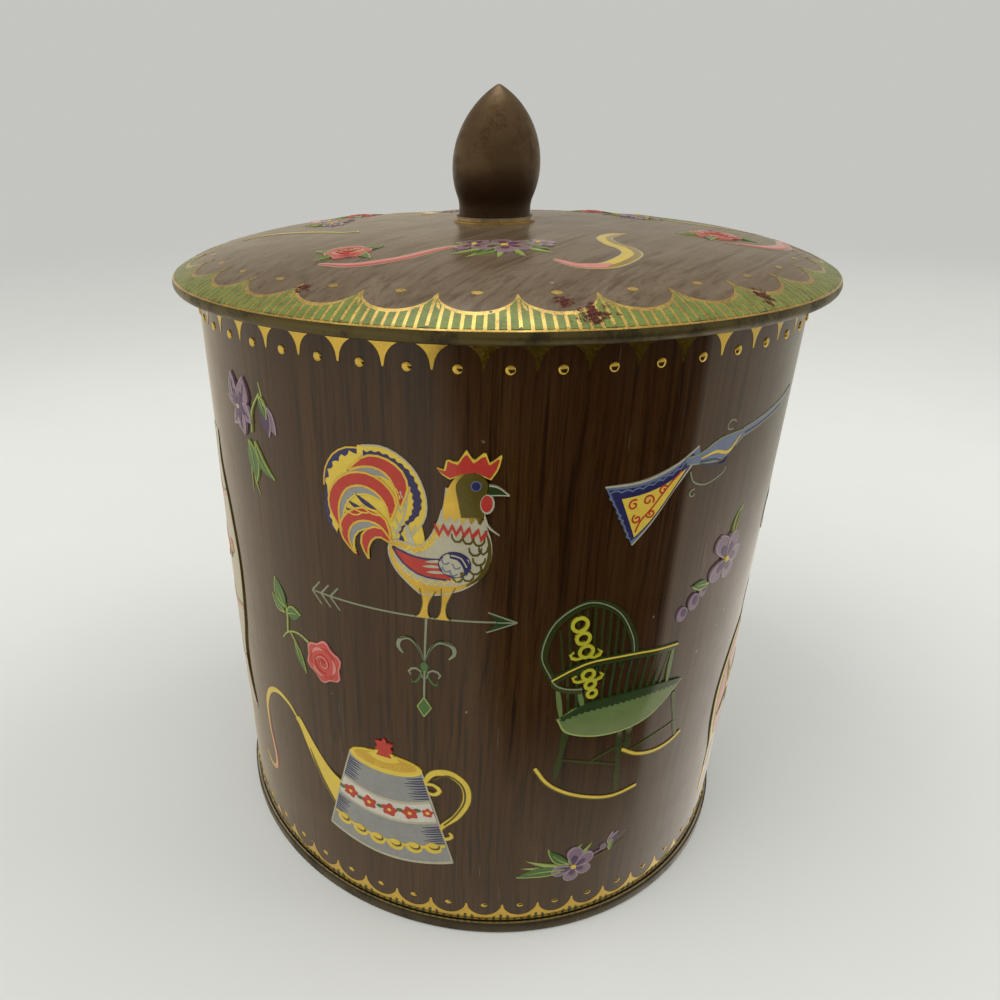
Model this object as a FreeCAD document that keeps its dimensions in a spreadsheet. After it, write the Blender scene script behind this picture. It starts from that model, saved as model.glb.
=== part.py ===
import FreeCAD, Part
import math
import os
import re
import Sketcher

# Round biscuit tin in tinplate: a rolled body with a double-seamed base, and a domed lid with a
# plug collar under it and a spun knob riveted on top. Millimetres and degrees. +Z is up along the
# tin's axis, the origin is on the floor at the centre of the base, and -Y is the front.

# Driving dimensions: name, value, what it sets.
DIMENSIONS = [
    ("sheet_metal", 0.3, "thickness of the tinplate"),
    ("body_radius", 68.0, "outside of the body wall"),
    ("body_height", 145.9, "floor to the top of the mouth curl"),
    ("mouth_curl_radius", 1.0, "outside radius of the curl at the mouth, turned inward"),
    ("side_seam_width", 5.0, "width of the lock seam up the back of the body"),
    ("side_seam_margin", 1.0, "end of the lock seam to the curl above and to the base panel below"),
    ("layer_gap", 0.05, "gap between layers of sheet in the double seam and under the lid"),
    ("seam_height", 3.0, "floor to the top of the double seam"),
    ("seam_corner", 0.5, "outside bend of the double seam"),
    ("hook_bend", 0.1, "tightest bend of the body's hook"),
    ("hook_margin", 0.4, "end of each hook to the fold that faces it"),
    ("base_recess", 3.8, "floor to the underside of the base panel"),
    ("recess_bend", 1.2, "bend between the base panel and the wall around it"),
    ("lid_overhang", 5.0, "lid rim past the body wall"),
    ("rim_curl_radius", 1.5, "outside radius of the lid's rolled rim"),
    ("rim_curl_end", 300.0, "how far round the rim is rolled, from straight up"),
    ("brow_slope", 30.0, "slope where the rim meets the brow of the lid"),
    ("brow_bend", 35.0, "radius of the brow"),
    ("shoulder_slope", 16.5, "slope where the brow meets the shoulder"),
    ("shoulder_bend", 80.0, "radius of the shoulder"),
    ("crown_slope", 5.5, "slope where the shoulder meets the crown"),
    ("rest_gap", 0.2, "gap between the collar's flange and the mouth curl, lid closed"),
    ("collar_clearance", 0.4, "gap between the collar and the mouth curl"),
    ("collar_depth", 12.0, "mouth to the bottom of the collar, lid closed"),
    ("collar_bend", 0.6, "bend between the collar and its flange"),
    ("collar_flange", 3.0, "width of the flange that lies under the brow"),
    ("hem_height", 2.0, "height of the hem inside the bottom of the collar"),
    ("solder_bead", 0.5, "radius of a solder bead"),
    ("solder_count", 6, "number of solder beads"),
    ("knob_radius", 9.75, "widest radius of the knob"),
    ("knob_metal", 0.35, "thickness of the knob's shell"),
    ("knob_flank", 18.5, "radius of the knob's side above its widest place"),
    ("knob_tip", 1.0, "radius of the rounded tip"),
    ("knob_belly", 16.0, "radius of the knob's side below its widest place"),
    ("neck_bend", 7.0, "radius of the hollow that runs down into the neck"),
    ("neck_slope", 22.0, "steepest lean between belly and neck"),
    ("neck_height", 0.9, "straight part of the neck"),
    ("lip_bend", 0.6, "outside bend between the neck and the lip under it"),
    ("neck_lip", 2.2, "width of the lip turned inward under the neck"),
    ("base_metal", 0.4, "thickness of the ring under the knob"),
    ("base_rise", 1.3, "lid to the top of the ring"),
    ("base_step", 0.4, "ring's upper step past the neck"),
    ("base_flange", 0.8, "ring's foot past its upper step"),
    ("base_bend", 0.2, "bends of the ring"),
    ("seat_margin", 0.7, "flat seat on the lid past the ring's foot"),
    ("rivet_radius", 2.0, "shank of the tubular rivet"),
    ("rivet_bore", 1.3, "bore of the tubular rivet"),
    ("rivet_head", 3.4, "radius of the rivet's head and of its clinched end"),
    ("rivet_head_height", 0.6, "height of the rivet's head and of its clinched end"),
    ("rivet_clearance", 0.1, "gap between the rivet's shank and the holes it passes"),
    ("washer_height", 0.6, "thickness of both washers"),
    ("clamp_margin", 0.4, "gap between the clamp washer and the inside of the neck"),
    ("backing_radius", 6.0, "radius of the washer under the lid"),
]
NAMES = {name for name, value, note in DIMENSIONS}

document = FreeCAD.newDocument("lithographed_tin")


def fill_sheet():
    """Put the driving dimensions in a sheet, each with its name as alias."""
    sheet = document.addObject("Spreadsheet::Sheet", "sizes")
    for row, (name, value, note) in enumerate(DIMENSIONS, start=1):
        sheet.set(f"A{row}", note)
        sheet.set(f"B{row}", str(value))
        sheet.setAlias(f"B{row}", name)
    document.recompute()
    return sheet


sizes = fill_sheet()


def formula(text):
    """The text with each dimension's name pointing at its cell."""
    return re.sub(r"[a-z_]+", lambda word: f"sizes.{word[0]}" if word[0] in NAMES else word[0], text)


def measure(text):
    """The present value of a formula."""
    value = sizes.evalExpression(formula(text))
    return float(getattr(value, "Value", value))


# ---- outlines -------------------------------------------------------------------------------
# A corner is (radius, height, bend), all formulas. The bend belongs to the run to the next corner:
# None for a straight run, or (radius, turn), where turn is 1 for a curve to the left, -1 to the right.


def arc_between(first, last, radius, turn):
    """The arc of that radius, up to half a circle, from first to last."""
    chord = last - first
    side = FreeCAD.Vector(-chord.y, chord.x, 0).normalize()
    rise = math.sqrt(max(radius ** 2 - (chord.Length / 2) ** 2, 0))
    centre = (first + last) / 2 + side * rise * turn
    ends = (first, last) if turn > 0 else (last, first)
    angles = [math.atan2(end.y - centre.y, end.x - centre.x) for end in ends]
    if angles[1] < angles[0]:
        angles[1] += 2 * math.pi
    return Part.ArcOfCircle(Part.Circle(centre, FreeCAD.Vector(0, 0, 1), radius), *angles)


def bind(sketch, kind, parts, text):
    """Add a sized constraint and tie it to its formula."""
    index = sketch.addConstraint(Sketcher.Constraint(kind, *parts, measure(text)))
    sketch.setExpression(f"Constraints[{index}]", formula(text))


def draw_outline(body, corners, plane="XZ_Plane"):
    """Draw a closed outline on one of the body's own planes, every corner tied to the sheet."""
    sketch = body.newObject("Sketcher::SketchObject", body.Name + "_outline")
    support = [feature for feature in body.Origin.OriginFeatures if feature.Role == plane]
    sketch.AttachmentSupport = [(support[0], "")]
    sketch.MapMode = "FlatFace"
    points = [FreeCAD.Vector(measure(x), measure(y), 0) for x, y, bend in corners]
    count = len(corners)
    for index, (x, y, bend) in enumerate(corners):
        first, last = points[index], points[(index + 1) % count]
        if bend is None:
            sketch.addGeometry(Part.LineSegment(first, last))
        else:
            sketch.addGeometry(arc_between(first, last, measure(bend[0]), bend[1]))
    # A curve to the right is stored from its last point to its first.
    starts = [2 if bend is not None and bend[1] < 0 else 1 for x, y, bend in corners]
    for index, (x, y, bend) in enumerate(corners):
        following = (index + 1) % count
        ends = (index, 3 - starts[index], following, starts[following])
        sketch.addConstraint(Sketcher.Constraint("Coincident", *ends))
        for kind, text, axis in (("DistanceX", x, -2), ("DistanceY", y, -1)):
            if text == "0":
                sketch.addConstraint(Sketcher.Constraint("PointOnObject", index, starts[index], axis))
            else:
                bind(sketch, kind, (-1, 1, index, starts[index]), text)
        if bend is not None:
            bind(sketch, "Radius", (index,), bend[0])
    return sketch


def sheet_corners(path, thickness="sheet_metal"):
    """Both faces of a sheet, from a path along its outer face.

    A stop on the path is (radius, height, facing, bend). The outer face lies to the left of the
    path and faces that many degrees from straight up. A bend with turn -1 is round outside.
    """
    outer = [(radius, height, bend) for radius, height, facing, bend in path]
    outer[-1] = (outer[-1][0], outer[-1][1], None)
    inner = []
    for index in range(len(path) - 1, -1, -1):
        radius, height, facing, _ = path[index]
        bend = path[index - 1][3] if index > 0 else None
        if bend is not None:
            bend = (f"({bend[0]}) {'+-'[bend[1] < 0]} {thickness}", -bend[1])
        inside_radius = f"{radius} - {thickness} * sin({facing})"
        inside_height = f"{height} - {thickness} * cos({facing})"
        inner.append((inside_radius, inside_height, bend))
    return outer + inner


def spin(name, corners, height="0"):
    """A body turned about Z from a closed outline, set at a height."""
    body = document.addObject("PartDesign::Body", name)
    body.Label = name
    sketch = draw_outline(body, corners)
    turned = body.newObject("PartDesign::Revolution", name + "_turned")
    turned.Profile = sketch
    turned.ReferenceAxis = (sketch, ["V_Axis"])
    turned.Angle = 360
    sketch.Visibility = False
    if height != "0":
        body.setExpression("Placement.Base.z", formula(height))
    document.recompute()
    return body


def angle_with_sine(text):
    """The angle with that sine, as plain degrees."""
    return f"(asin({text}) / 1 deg)"


def on_arc(centre, radius, angle):
    """Radius and height of the place on an arc at that many degrees from straight up."""
    return f"{centre[0]} + ({radius}) * sin({angle})", f"{centre[1]} + ({radius}) * cos({angle})"


# ---- tin ------------------------------------------------------------------------------------
# The double seam's layers, outward from the wall of the base: that wall, the body wall, the base's
# hook, the body's hook, and the base's outside wall. Each is one sheet and one gap from the next.
LAYER = "(sheet_metal + layer_gap)"
INNER_FACE = f"(body_radius - sheet_metal - {LAYER})"
BASE_HOOK_FACE = "(body_radius + layer_gap)"
BODY_HOOK_FACE = f"(body_radius + layer_gap + {LAYER})"
SEAM_RADIUS = f"(body_radius + 3 * {LAYER})"
BODY_FOLD = f"({LAYER} + sheet_metal)"
MOUTH_CENTRE = "(body_radius - mouth_curl_radius)"


def build_body_wall():
    """Rolled body: mouth curl, straight wall, and the hook that the base is folded over."""
    curl = (MOUTH_CENTRE, "body_height - mouth_curl_radius")
    round_outside = ("mouth_curl_radius", -1)
    hollow = ("hook_bend", 1)
    path = [(*on_arc(curl, "mouth_curl_radius", angle), str(angle), round_outside)
            for angle in (-180, -90, 0)]
    path += [
        ("body_radius", "body_height - mouth_curl_radius", "90", None),
        ("body_radius", f"{BODY_FOLD} + hook_bend", "90", hollow),
        ("body_radius + hook_bend", BODY_FOLD, "0", None),
        (f"{BODY_HOOK_FACE} - hook_bend", BODY_FOLD, "0", hollow),
        (BODY_HOOK_FACE, f"{BODY_FOLD} + hook_bend", "-90", None),
        (BODY_HOOK_FACE, "seam_height - sheet_metal - hook_margin", "-90", None),
    ]
    body = spin("body_wall", sheet_corners(path))
    add_side_seam(body)
    return body


def add_side_seam(body):
    """Lock seam up the inside of the back: two more layers of sheet over a narrow strip."""
    lean = angle_with_sine("side_seam_width / 2 / body_radius")
    faces = ("body_radius - 3 * sheet_metal", "body_radius - sheet_metal / 2")
    corners = [(f"({face}) * sin({side} * {lean})", f"({face}) * cos({lean})")
               for face, side in zip((faces[0], faces[0], faces[1], faces[1]), (1, -1, -1, 1))]
    inside, outside = (faces[0], 1), (faces[1], -1)
    bends = (inside, None, outside, None)
    sketch = draw_outline(body, [(*corner, bend) for corner, bend in zip(corners, bends)], "XY_Plane")
    sketch.setExpression("AttachmentOffset.Base.z",
                         formula("base_recess + sheet_metal + side_seam_margin"))
    strip = body.newObject("PartDesign::Pad", "side_seam")
    strip.Profile = sketch
    strip.setExpression("Length", formula("body_height - 2 * mouth_curl_radius - base_recess"
                                          " - sheet_metal - 2 * side_seam_margin"))
    sketch.Visibility = False
    document.recompute()


def build_bottom_end():
    """Base: recessed panel, wall inside the body, flat foot, and the hook folded over the body's."""
    round_outside = ("seam_corner", -1)
    hook_top = (f"({BASE_HOOK_FACE} + {SEAM_RADIUS}) / 2", "seam_height")
    hook_bend = (f"({SEAM_RADIUS} - {BASE_HOOK_FACE}) / 2", -1)
    below_top = f"seam_height - ({hook_bend[0]})"
    path = [
        (BASE_HOOK_FACE, f"{BODY_FOLD} + hook_margin", "-90", None),
        (BASE_HOOK_FACE, below_top, "-90", hook_bend),
        (*hook_top, "0", hook_bend),
        (SEAM_RADIUS, below_top, "90", None),
        (SEAM_RADIUS, "seam_corner", "90", round_outside),
        (f"{SEAM_RADIUS} - seam_corner", "0", "180", None),
        (f"{INNER_FACE} + seam_corner", "0", "180", round_outside),
        (INNER_FACE, "seam_corner", "270", None),
        (INNER_FACE, "base_recess - recess_bend", "270", ("recess_bend", 1)),
        (f"{INNER_FACE} - recess_bend", "base_recess", "180", None),
        ("0", "base_recess", "180", None),
    ]
    return spin("bottom_end", sheet_corners(path))


# ---- lid ------------------------------------------------------------------------------------
# Heights of the lid's pieces count from the centre of its rolled rim. The outer face is four
# tangent arcs, from the rim inward: rim, brow, shoulder and crown, and then the knob's flat seat.
NECK_RADIUS = "(knob_radius - (knob_belly + neck_bend) * (1 - cos(neck_slope)))"
STEP_RADIUS = f"({NECK_RADIUS} + base_step)"
SEAT_RADIUS = f"({STEP_RADIUS} + base_flange + seat_margin)"
RIM = ("(body_radius + lid_overhang - rim_curl_radius)", "0")
BROW = (f"({RIM[0]} - (brow_bend - rim_curl_radius) * sin(brow_slope))",
        "((rim_curl_radius - brow_bend) * cos(brow_slope))")
SHOULDER = (f"({BROW[0]} - (shoulder_bend - brow_bend) * sin(shoulder_slope))",
            f"({BROW[1]} - (shoulder_bend - brow_bend) * cos(shoulder_slope))")
CROWN_BEND = f"(shoulder_bend + ({SHOULDER[0]} - {SEAT_RADIUS}) / sin(crown_slope))"
CROWN = (SEAT_RADIUS, f"({SHOULDER[1]} - ({CROWN_BEND} - shoulder_bend) * cos(crown_slope))")
LID_TOP = f"({CROWN[1]} + {CROWN_BEND})"

# The collar's flange lies one gap under the brow, and the mouth curl touches its lower face.
FLANGE_BEND = f"(brow_bend - sheet_metal - {LAYER})"
MOUTH_REACH = f"({FLANGE_BEND} - mouth_curl_radius - rest_gap)"
MOUTH = f"({BROW[1]} + sqrt({MOUTH_REACH}^2 - ({MOUTH_CENTRE} - {BROW[0]})^2))"
LID_HEIGHT = f"(body_height - mouth_curl_radius - {MOUTH})"
KNOB_HEIGHT = f"({LID_HEIGHT} + {LID_TOP})"
COLLAR_RADIUS = "(body_radius - 2 * mouth_curl_radius - collar_clearance)"
FLANGE_END = angle_with_sine(f"({COLLAR_RADIUS} + collar_flange - {BROW[0]}) / {FLANGE_BEND}")
RIVET_HOLE = "(rivet_radius + rivet_clearance)"


def build_lid_cover():
    """Pressed lid: knob seat, crown, shoulder and brow, and the rim rolled under."""
    path = [
        (RIVET_HOLE, LID_TOP, "0", None),
        (SEAT_RADIUS, LID_TOP, "0", (CROWN_BEND, -1)),
        (*on_arc(SHOULDER, "shoulder_bend", "crown_slope"), "crown_slope", ("shoulder_bend", -1)),
        (*on_arc(BROW, "brow_bend", "shoulder_slope"), "shoulder_slope", ("brow_bend", -1)),
    ]
    for step in range(4):
        angle = f"(brow_slope + (rim_curl_end - brow_slope) * {step} / 3)"
        path.append((*on_arc(RIM, "rim_curl_radius", angle), angle, ("rim_curl_radius", -1)))
    return spin("lid_cover", sheet_corners(path), LID_HEIGHT)


def build_lid_collar():
    """Plug ring: flange under the brow, straight wall, and a hem at the bottom."""
    corner_radius = f"({COLLAR_RADIUS} + collar_bend)"
    corner_reach = f"({FLANGE_BEND} - collar_bend)"
    corner_height = f"({BROW[1]} + sqrt({corner_reach}^2 - ({corner_radius} - {BROW[0]})^2))"
    corner_angle = angle_with_sine(f"({corner_radius} - {BROW[0]}) / {corner_reach}")
    bottom = f"({MOUTH} + mouth_curl_radius - collar_depth)"
    hem = ("(sheet_metal + layer_gap)", -1)
    path = [
        (*on_arc(BROW, FLANGE_BEND, FLANGE_END), f"180 + {FLANGE_END}", (FLANGE_BEND, 1)),
        (*on_arc(BROW, FLANGE_BEND, corner_angle), f"180 + {corner_angle}", ("collar_bend", 1)),
        (COLLAR_RADIUS, corner_height, "90", None),
        (COLLAR_RADIUS, f"{bottom} + {hem[0]}", "90", hem),
        (f"{COLLAR_RADIUS} - {hem[0]}", bottom, "180", hem),
        (f"{COLLAR_RADIUS} - 2 * {hem[0]}", f"{bottom} + {hem[0]}", "270", None),
        (f"{COLLAR_RADIUS} - 2 * {hem[0]}", f"{bottom} + {hem[0]} + hem_height", "270", None),
    ]
    return spin("lid_collar", sheet_corners(path), LID_HEIGHT)


def build_collar_solder():
    """Solder beads that hold the edge of the collar's flange to the underside of the lid."""
    reach, height = on_arc(BROW, f"{FLANGE_BEND} + sheet_metal", FLANGE_END)
    count = int(measure("solder_count"))
    beads = []
    for index in range(count):
        bead = document.addObject("Part::Sphere", f"bead_{index + 1}")
        bead.setExpression("Radius", formula("solder_bead"))
        turn = f"(360 * ({index} + 0.5) / solder_count)"
        bead.setExpression("Placement.Base.x", formula(f"({reach}) * cos({turn})"))
        bead.setExpression("Placement.Base.y", formula(f"({reach}) * sin({turn})"))
        bead.setExpression("Placement.Base.z", formula(f"{height}"))
        beads.append(bead)
    group = document.addObject("Part::Compound", "collar_solder")
    group.Label = "collar_solder"
    group.Links = beads
    group.setExpression("Placement.Base.z", formula(LID_HEIGHT))
    document.recompute()
    return group


# ---- knob -----------------------------------------------------------------------------------
# Heights of the knob's pieces count from the lid's flat seat.
SHELL_BOTTOM = "base_rise"
NECK_TOP = f"({SHELL_BOTTOM} + lip_bend + neck_height)"
WIDEST = f"({NECK_TOP} + (knob_belly + neck_bend) * sin(neck_slope))"
CLAMP_BOTTOM = f"({SHELL_BOTTOM} + knob_metal)"
RIVET_TOP = f"({CLAMP_BOTTOM} + washer_height)"
BACKING_BOTTOM = "(0 - sheet_metal - washer_height)"


def build_knob_shell():
    """Spun shell: pointed tip, long flank, belly, hollow neck, and a lip turned in under it."""
    flank = ("(knob_radius - knob_flank)", WIDEST)
    tip_reach = "(knob_flank - knob_tip)"
    tip = ("0", f"({WIDEST} + sqrt({tip_reach}^2 - {flank[0]}^2))")
    tip_angle = angle_with_sine(f"(knob_flank - knob_radius) / {tip_reach}")
    belly = ("(knob_radius - knob_belly)", WIDEST)
    hollow = (f"({NECK_RADIUS} + neck_bend)", NECK_TOP)
    lean = "(90 + neck_slope)"
    path = [
        ("0", f"{tip[1]} + knob_tip", "0", ("knob_tip", -1)),
        (*on_arc(tip, "knob_tip", tip_angle), tip_angle, ("knob_flank", -1)),
        ("knob_radius", WIDEST, "90", ("knob_belly", -1)),
        (*on_arc(belly, "knob_belly", lean), lean, ("neck_bend", 1)),
        (f"{hollow[0]} - neck_bend", NECK_TOP, "90", None),
        (NECK_RADIUS, f"{SHELL_BOTTOM} + lip_bend", "90", ("lip_bend", -1)),
        (f"{NECK_RADIUS} - lip_bend", SHELL_BOTTOM, "180", None),
        (f"{NECK_RADIUS} - lip_bend - neck_lip", SHELL_BOTTOM, "180", None),
    ]
    corners = sheet_corners(path, "knob_metal")
    return spin("knob_shell", corners, KNOB_HEIGHT)


def build_knob_base():
    """Ring under the knob: a web with the rivet's hole, a step down and a flat foot on the lid."""
    step = "(base_bend + base_metal)"
    path = [
        (RIVET_HOLE, "base_rise", "0", None),
        (f"{STEP_RADIUS} - {step}", "base_rise", "0", (step, -1)),
        (STEP_RADIUS, f"base_rise - {step}", "90", None),
        (STEP_RADIUS, "base_metal + base_bend", "90", ("base_bend", 1)),
        (f"{STEP_RADIUS} + base_bend", "base_metal", "0", None),
        (f"{STEP_RADIUS} + base_flange", "base_metal", "0", None),
    ]
    return spin("knob_base", sheet_corners(path, "base_metal"), KNOB_HEIGHT)


def ring_corners(inside, outside, bottom, top):
    """A plain ring of rectangular section."""
    return [(inside, bottom, None), (outside, bottom, None), (outside, top, None), (inside, top, None)]


def build_clamp_washer():
    """Washer inside the knob that holds the shell's lip down on the ring."""
    outside = f"{NECK_RADIUS} - knob_metal - clamp_margin"
    return spin("clamp_washer", ring_corners(RIVET_HOLE, outside, CLAMP_BOTTOM, RIVET_TOP), KNOB_HEIGHT)


def build_rivet_washer():
    """Backing washer between the underside of the lid and the rivet's clinched end."""
    corners = ring_corners(RIVET_HOLE, "backing_radius", BACKING_BOTTOM, "(0 - sheet_metal)")
    return spin("rivet_washer", corners, KNOB_HEIGHT)


def build_knob_rivet():
    """Tubular rivet: head inside the knob, shank through the lid, and a clinched end below."""
    head = f"({RIVET_TOP} + rivet_head_height)"
    clinch = f"({BACKING_BOTTOM} - rivet_head_height)"
    corners = [
        ("rivet_bore", clinch, None),
        ("rivet_head - rivet_head_height", clinch, ("rivet_head_height", 1)),
        ("rivet_head", BACKING_BOTTOM, None),
        ("rivet_radius", BACKING_BOTTOM, None),
        ("rivet_radius", RIVET_TOP, None),
        ("rivet_head", RIVET_TOP, ("rivet_head_height", 1)),
        ("rivet_head - rivet_head_height", head, None),
        ("rivet_bore", head, None),
    ]
    return spin("knob_rivet", corners, KNOB_HEIGHT)


subparts = [
    build_body_wall(),
    build_bottom_end(),
    build_lid_cover(),
    build_lid_collar(),
    build_collar_solder(),
    build_knob_shell(),
    build_knob_base(),
    build_clamp_washer(),
    build_knob_rivet(),
    build_rivet_washer(),
]

# ---- check and write ------------------------------------------------------------------------
document.recompute()
for item in document.Objects:
    if "Invalid" in item.State or "Error" in item.State:
        raise RuntimeError(f"{item.Name} failed: {item.State}")
for subpart in subparts:
    if subpart.Shape.isNull() or not subpart.Shape.isValid():
        raise RuntimeError(f"{subpart.Label} has no valid shape")

os.makedirs("parts", exist_ok=True)
for subpart in subparts:
    box = subpart.Shape.BoundBox
    solids = len(subpart.Shape.Solids)
    print(f"{subpart.Label}: {solids} solid(s), {subpart.Shape.Volume:.1f} mm3,"
          f" radius to {box.XMax:.2f}, height {box.ZMin:.3f} to {box.ZMax:.3f}")
    subpart.Shape.exportStep(f"parts/{subpart.Label}.step")
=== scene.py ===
"""A round lithographed biscuit tin: wood-print wall and domed lid with gold borders,
embossed folk pictures, a wide rolled lid rim and an acorn knob in dark bronze.

The metal parts are outlines carried round the tin's axis. The pictures are thin closed
patches of ink laid on the wall or the lid, a few hundredths of a millimetre apart.
Lengths in the helpers are millimetres; meshes are written in metres.
"""
import math

import bpy
import numpy as np
from bpy.props import FloatProperty, FloatVectorProperty, IntProperty, PointerProperty
from mathutils import Matrix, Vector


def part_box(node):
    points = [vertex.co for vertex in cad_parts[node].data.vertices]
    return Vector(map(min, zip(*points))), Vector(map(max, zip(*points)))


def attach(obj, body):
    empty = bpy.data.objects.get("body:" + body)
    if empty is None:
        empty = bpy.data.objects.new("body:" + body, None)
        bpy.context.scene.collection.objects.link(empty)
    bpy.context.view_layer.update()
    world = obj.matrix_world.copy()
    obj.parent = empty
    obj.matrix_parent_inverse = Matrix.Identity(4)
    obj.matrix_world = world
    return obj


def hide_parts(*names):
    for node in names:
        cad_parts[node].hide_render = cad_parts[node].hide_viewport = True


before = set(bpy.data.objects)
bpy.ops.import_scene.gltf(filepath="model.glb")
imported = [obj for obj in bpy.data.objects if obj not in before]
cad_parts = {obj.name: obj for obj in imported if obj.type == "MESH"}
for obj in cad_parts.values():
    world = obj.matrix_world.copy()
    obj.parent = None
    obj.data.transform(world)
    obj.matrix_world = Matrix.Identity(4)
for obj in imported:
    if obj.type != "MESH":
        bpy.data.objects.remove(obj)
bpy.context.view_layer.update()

bl_info = {
    "name": "Lithographed Biscuit Tin",
    "version": (1, 0, 0),
    "blender": (4, 5, 0),
    "location": "View3D > Sidebar > Tin",
    "description": "Builds a round printed tin with a domed lid and an acorn knob",
    "category": "Object",
}

MM = 0.001


def node_mm(name):
    """The low and high corner of a CAD node at rest, in millimetres."""
    low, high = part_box(name)
    return np.array(low) / MM, np.array(high) / MM


# Places that follow the CAD nodes
WALL_TOP = node_mm("body_wall")[1][2]
FOOT_FOLD = 0.7                                   # how far the wall's foot is folded outwards
WALL_RADIUS = node_mm("body_wall")[1][0] - FOOT_FOLD
SEAM_RADIUS = node_mm("bottom_end")[1][0]
SEAM_TOP = 3.0
RIM_ROLL = 1.5                                    # radius of the lid's rolled rim
RIM_LEVEL = node_mm("lid_cover")[0][2] + RIM_ROLL
RIM_CENTRE = node_mm("lid_cover")[1][0] - RIM_ROLL
SEAT_LEVEL = node_mm("knob_base")[0][2]
COLLAR_FOOT = node_mm("lid_collar")[0][2]
KNOB_TOP = node_mm("knob_shell")[1][2]
SHEET = 0.3                                       # thickness of the tinplate
SIDES = 288                                       # faces once round the tin
SHARP_EDGE = math.radians(38)                     # bend from which an edge is drawn sharp

SUNK = 0.12                                       # how far a patch's edge reaches under the surface
LAYER = 0.055                                     # lift from one layer of ink to the next


# ---------------------------------------------------------------- sizes and colours

class TinSizes(bpy.types.PropertyGroup):
    """Sizes of the printed decoration and of the finish."""
    wall_lobes: IntProperty(
        name="Wall lobes", default=51, min=12, max=90,
        description="Arches in the wall's upper and lower border")
    lid_lobes: IntProperty(
        name="Lid lobes", default=32, min=8, max=60,
        description="Lobes in the lid's border")
    relief: FloatProperty(
        name="Relief", default=0.00042, min=0.0, max=0.002, unit="LENGTH", subtype="DISTANCE",
        description="Height of the embossing under the pictures")
    boss_radius: FloatProperty(
        name="Boss radius", default=0.00088, min=0.0002, max=0.003, unit="LENGTH",
        subtype="DISTANCE", description="Radius of the gold bosses under the lid")
    floor_radius: FloatProperty(
        name="Floor radius", default=1.6, min=0.5, max=10.0, unit="LENGTH", subtype="DISTANCE",
        description="Radius of the floor the tin stands on")


def colour(label, value, note):
    return FloatVectorProperty(name=label, default=value, size=3, min=0.0, max=1.0,
                               subtype="COLOR", description=note)


class TinColours(bpy.types.PropertyGroup):
    """Colours of the lacquers, the metals and the inks, as linear red, green and blue."""
    wood_dark: colour("Wood dark", (0.0060, 0.0020, 0.0003), "Dark streaks of the wood print")
    wood_mid: colour("Wood middle", (0.0370, 0.0118, 0.0012), "Middle tone of the wood print")
    wood_light: colour("Wood light", (0.0580, 0.0235, 0.0040), "Light streaks of the wood print")
    lid_dark: colour("Lid dark", (0.0550, 0.0330, 0.0160), "Dark streaks of the lid's print")
    lid_mid: colour("Lid middle", (0.1180, 0.0780, 0.0440), "Middle tone of the lid's print")
    lid_light: colour("Lid light", (0.1700, 0.1220, 0.0760), "Light streaks of the lid's print")
    tin: colour("Tinplate", (0.56, 0.53, 0.47), "Bare tinned steel")
    bronze: colour("Knob bronze", (0.175, 0.115, 0.058), "Lacquered bronze of the knob")
    brass: colour("Worn brass", (0.55, 0.38, 0.15), "Brass where the lacquer is worn")
    rim: colour("Rim lacquer", (0.105, 0.080, 0.020), "Dark gold lacquer on the rolled rim")
    gold: colour("Gold", (0.84, 0.60, 0.100), "Gold ink")
    pale_gold: colour("Lid gold", (0.82, 0.58, 0.170), "Gold ink on the lid, thin and rubbed")
    yellow: colour("Yellow", (0.66, 0.47, 0.050), "Yellow ink")
    red: colour("Red", (0.43, 0.032, 0.020), "Red ink")
    rose: colour("Rose", (0.50, 0.060, 0.050), "Rose ink")
    pink: colour("Pink", (0.62, 0.215, 0.175), "Pink ink")
    navy: colour("Navy", (0.022, 0.020, 0.085), "Navy ink")
    blue: colour("Blue grey", (0.120, 0.150, 0.230), "Blue grey ink")
    grey: colour("Grey", (0.270, 0.280, 0.265), "Silver grey ink")
    cream: colour("Cream", (0.420, 0.385, 0.260), "Cream ink")
    white: colour("White", (0.560, 0.520, 0.430), "White ink")
    olive: colour("Olive", (0.105, 0.080, 0.010), "Olive ink")
    green: colour("Green", (0.118, 0.172, 0.048), "Chair seat green ink")
    moss: colour("Moss", (0.060, 0.078, 0.014), "Dark chair green ink")
    lid_green: colour("Lid green", (0.155, 0.205, 0.040), "Green bars of the lid")
    lemon: colour("Lemon", (0.430, 0.400, 0.020), "Chair splat yellow")
    rosy: colour("Rosy", (0.300, 0.165, 0.185), "Petals of the lid's violets")
    plum: colour("Plum", (0.150, 0.058, 0.085), "Violets on the lid")
    sage: colour("Sage", (0.215, 0.235, 0.135), "Grey green ink")
    mauve: colour("Mauve", (0.330, 0.250, 0.270), "Pale edge of the violets")
    leaf: colour("Leaf", (0.055, 0.130, 0.030), "Leaf green ink")
    bottle: colour("Bottle green", (0.020, 0.044, 0.010), "Dark green ink")
    lime: colour("Lime", (0.300, 0.360, 0.090), "Pale green ink")
    lilac: colour("Lilac", (0.205, 0.132, 0.178), "Lilac ink")
    violet: colour("Violet", (0.070, 0.036, 0.090), "Violet ink")


def sizes():
    return bpy.context.scene.tin_sizes


def colours():
    return bpy.context.scene.tin_colours


# ---------------------------------------------------------------- meshes

def side_by_side(*parts):
    """Arrays of one shape, put together as the columns of a last axis."""
    return np.stack(parts, axis=-1)


def ring_of(x, y, across, up, turn):
    """Points of an ellipse at the angles of turn: (x + a cos t, y + b sin t)."""
    return side_by_side(x + across * np.cos(turn), y + up * np.sin(turn))


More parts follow.
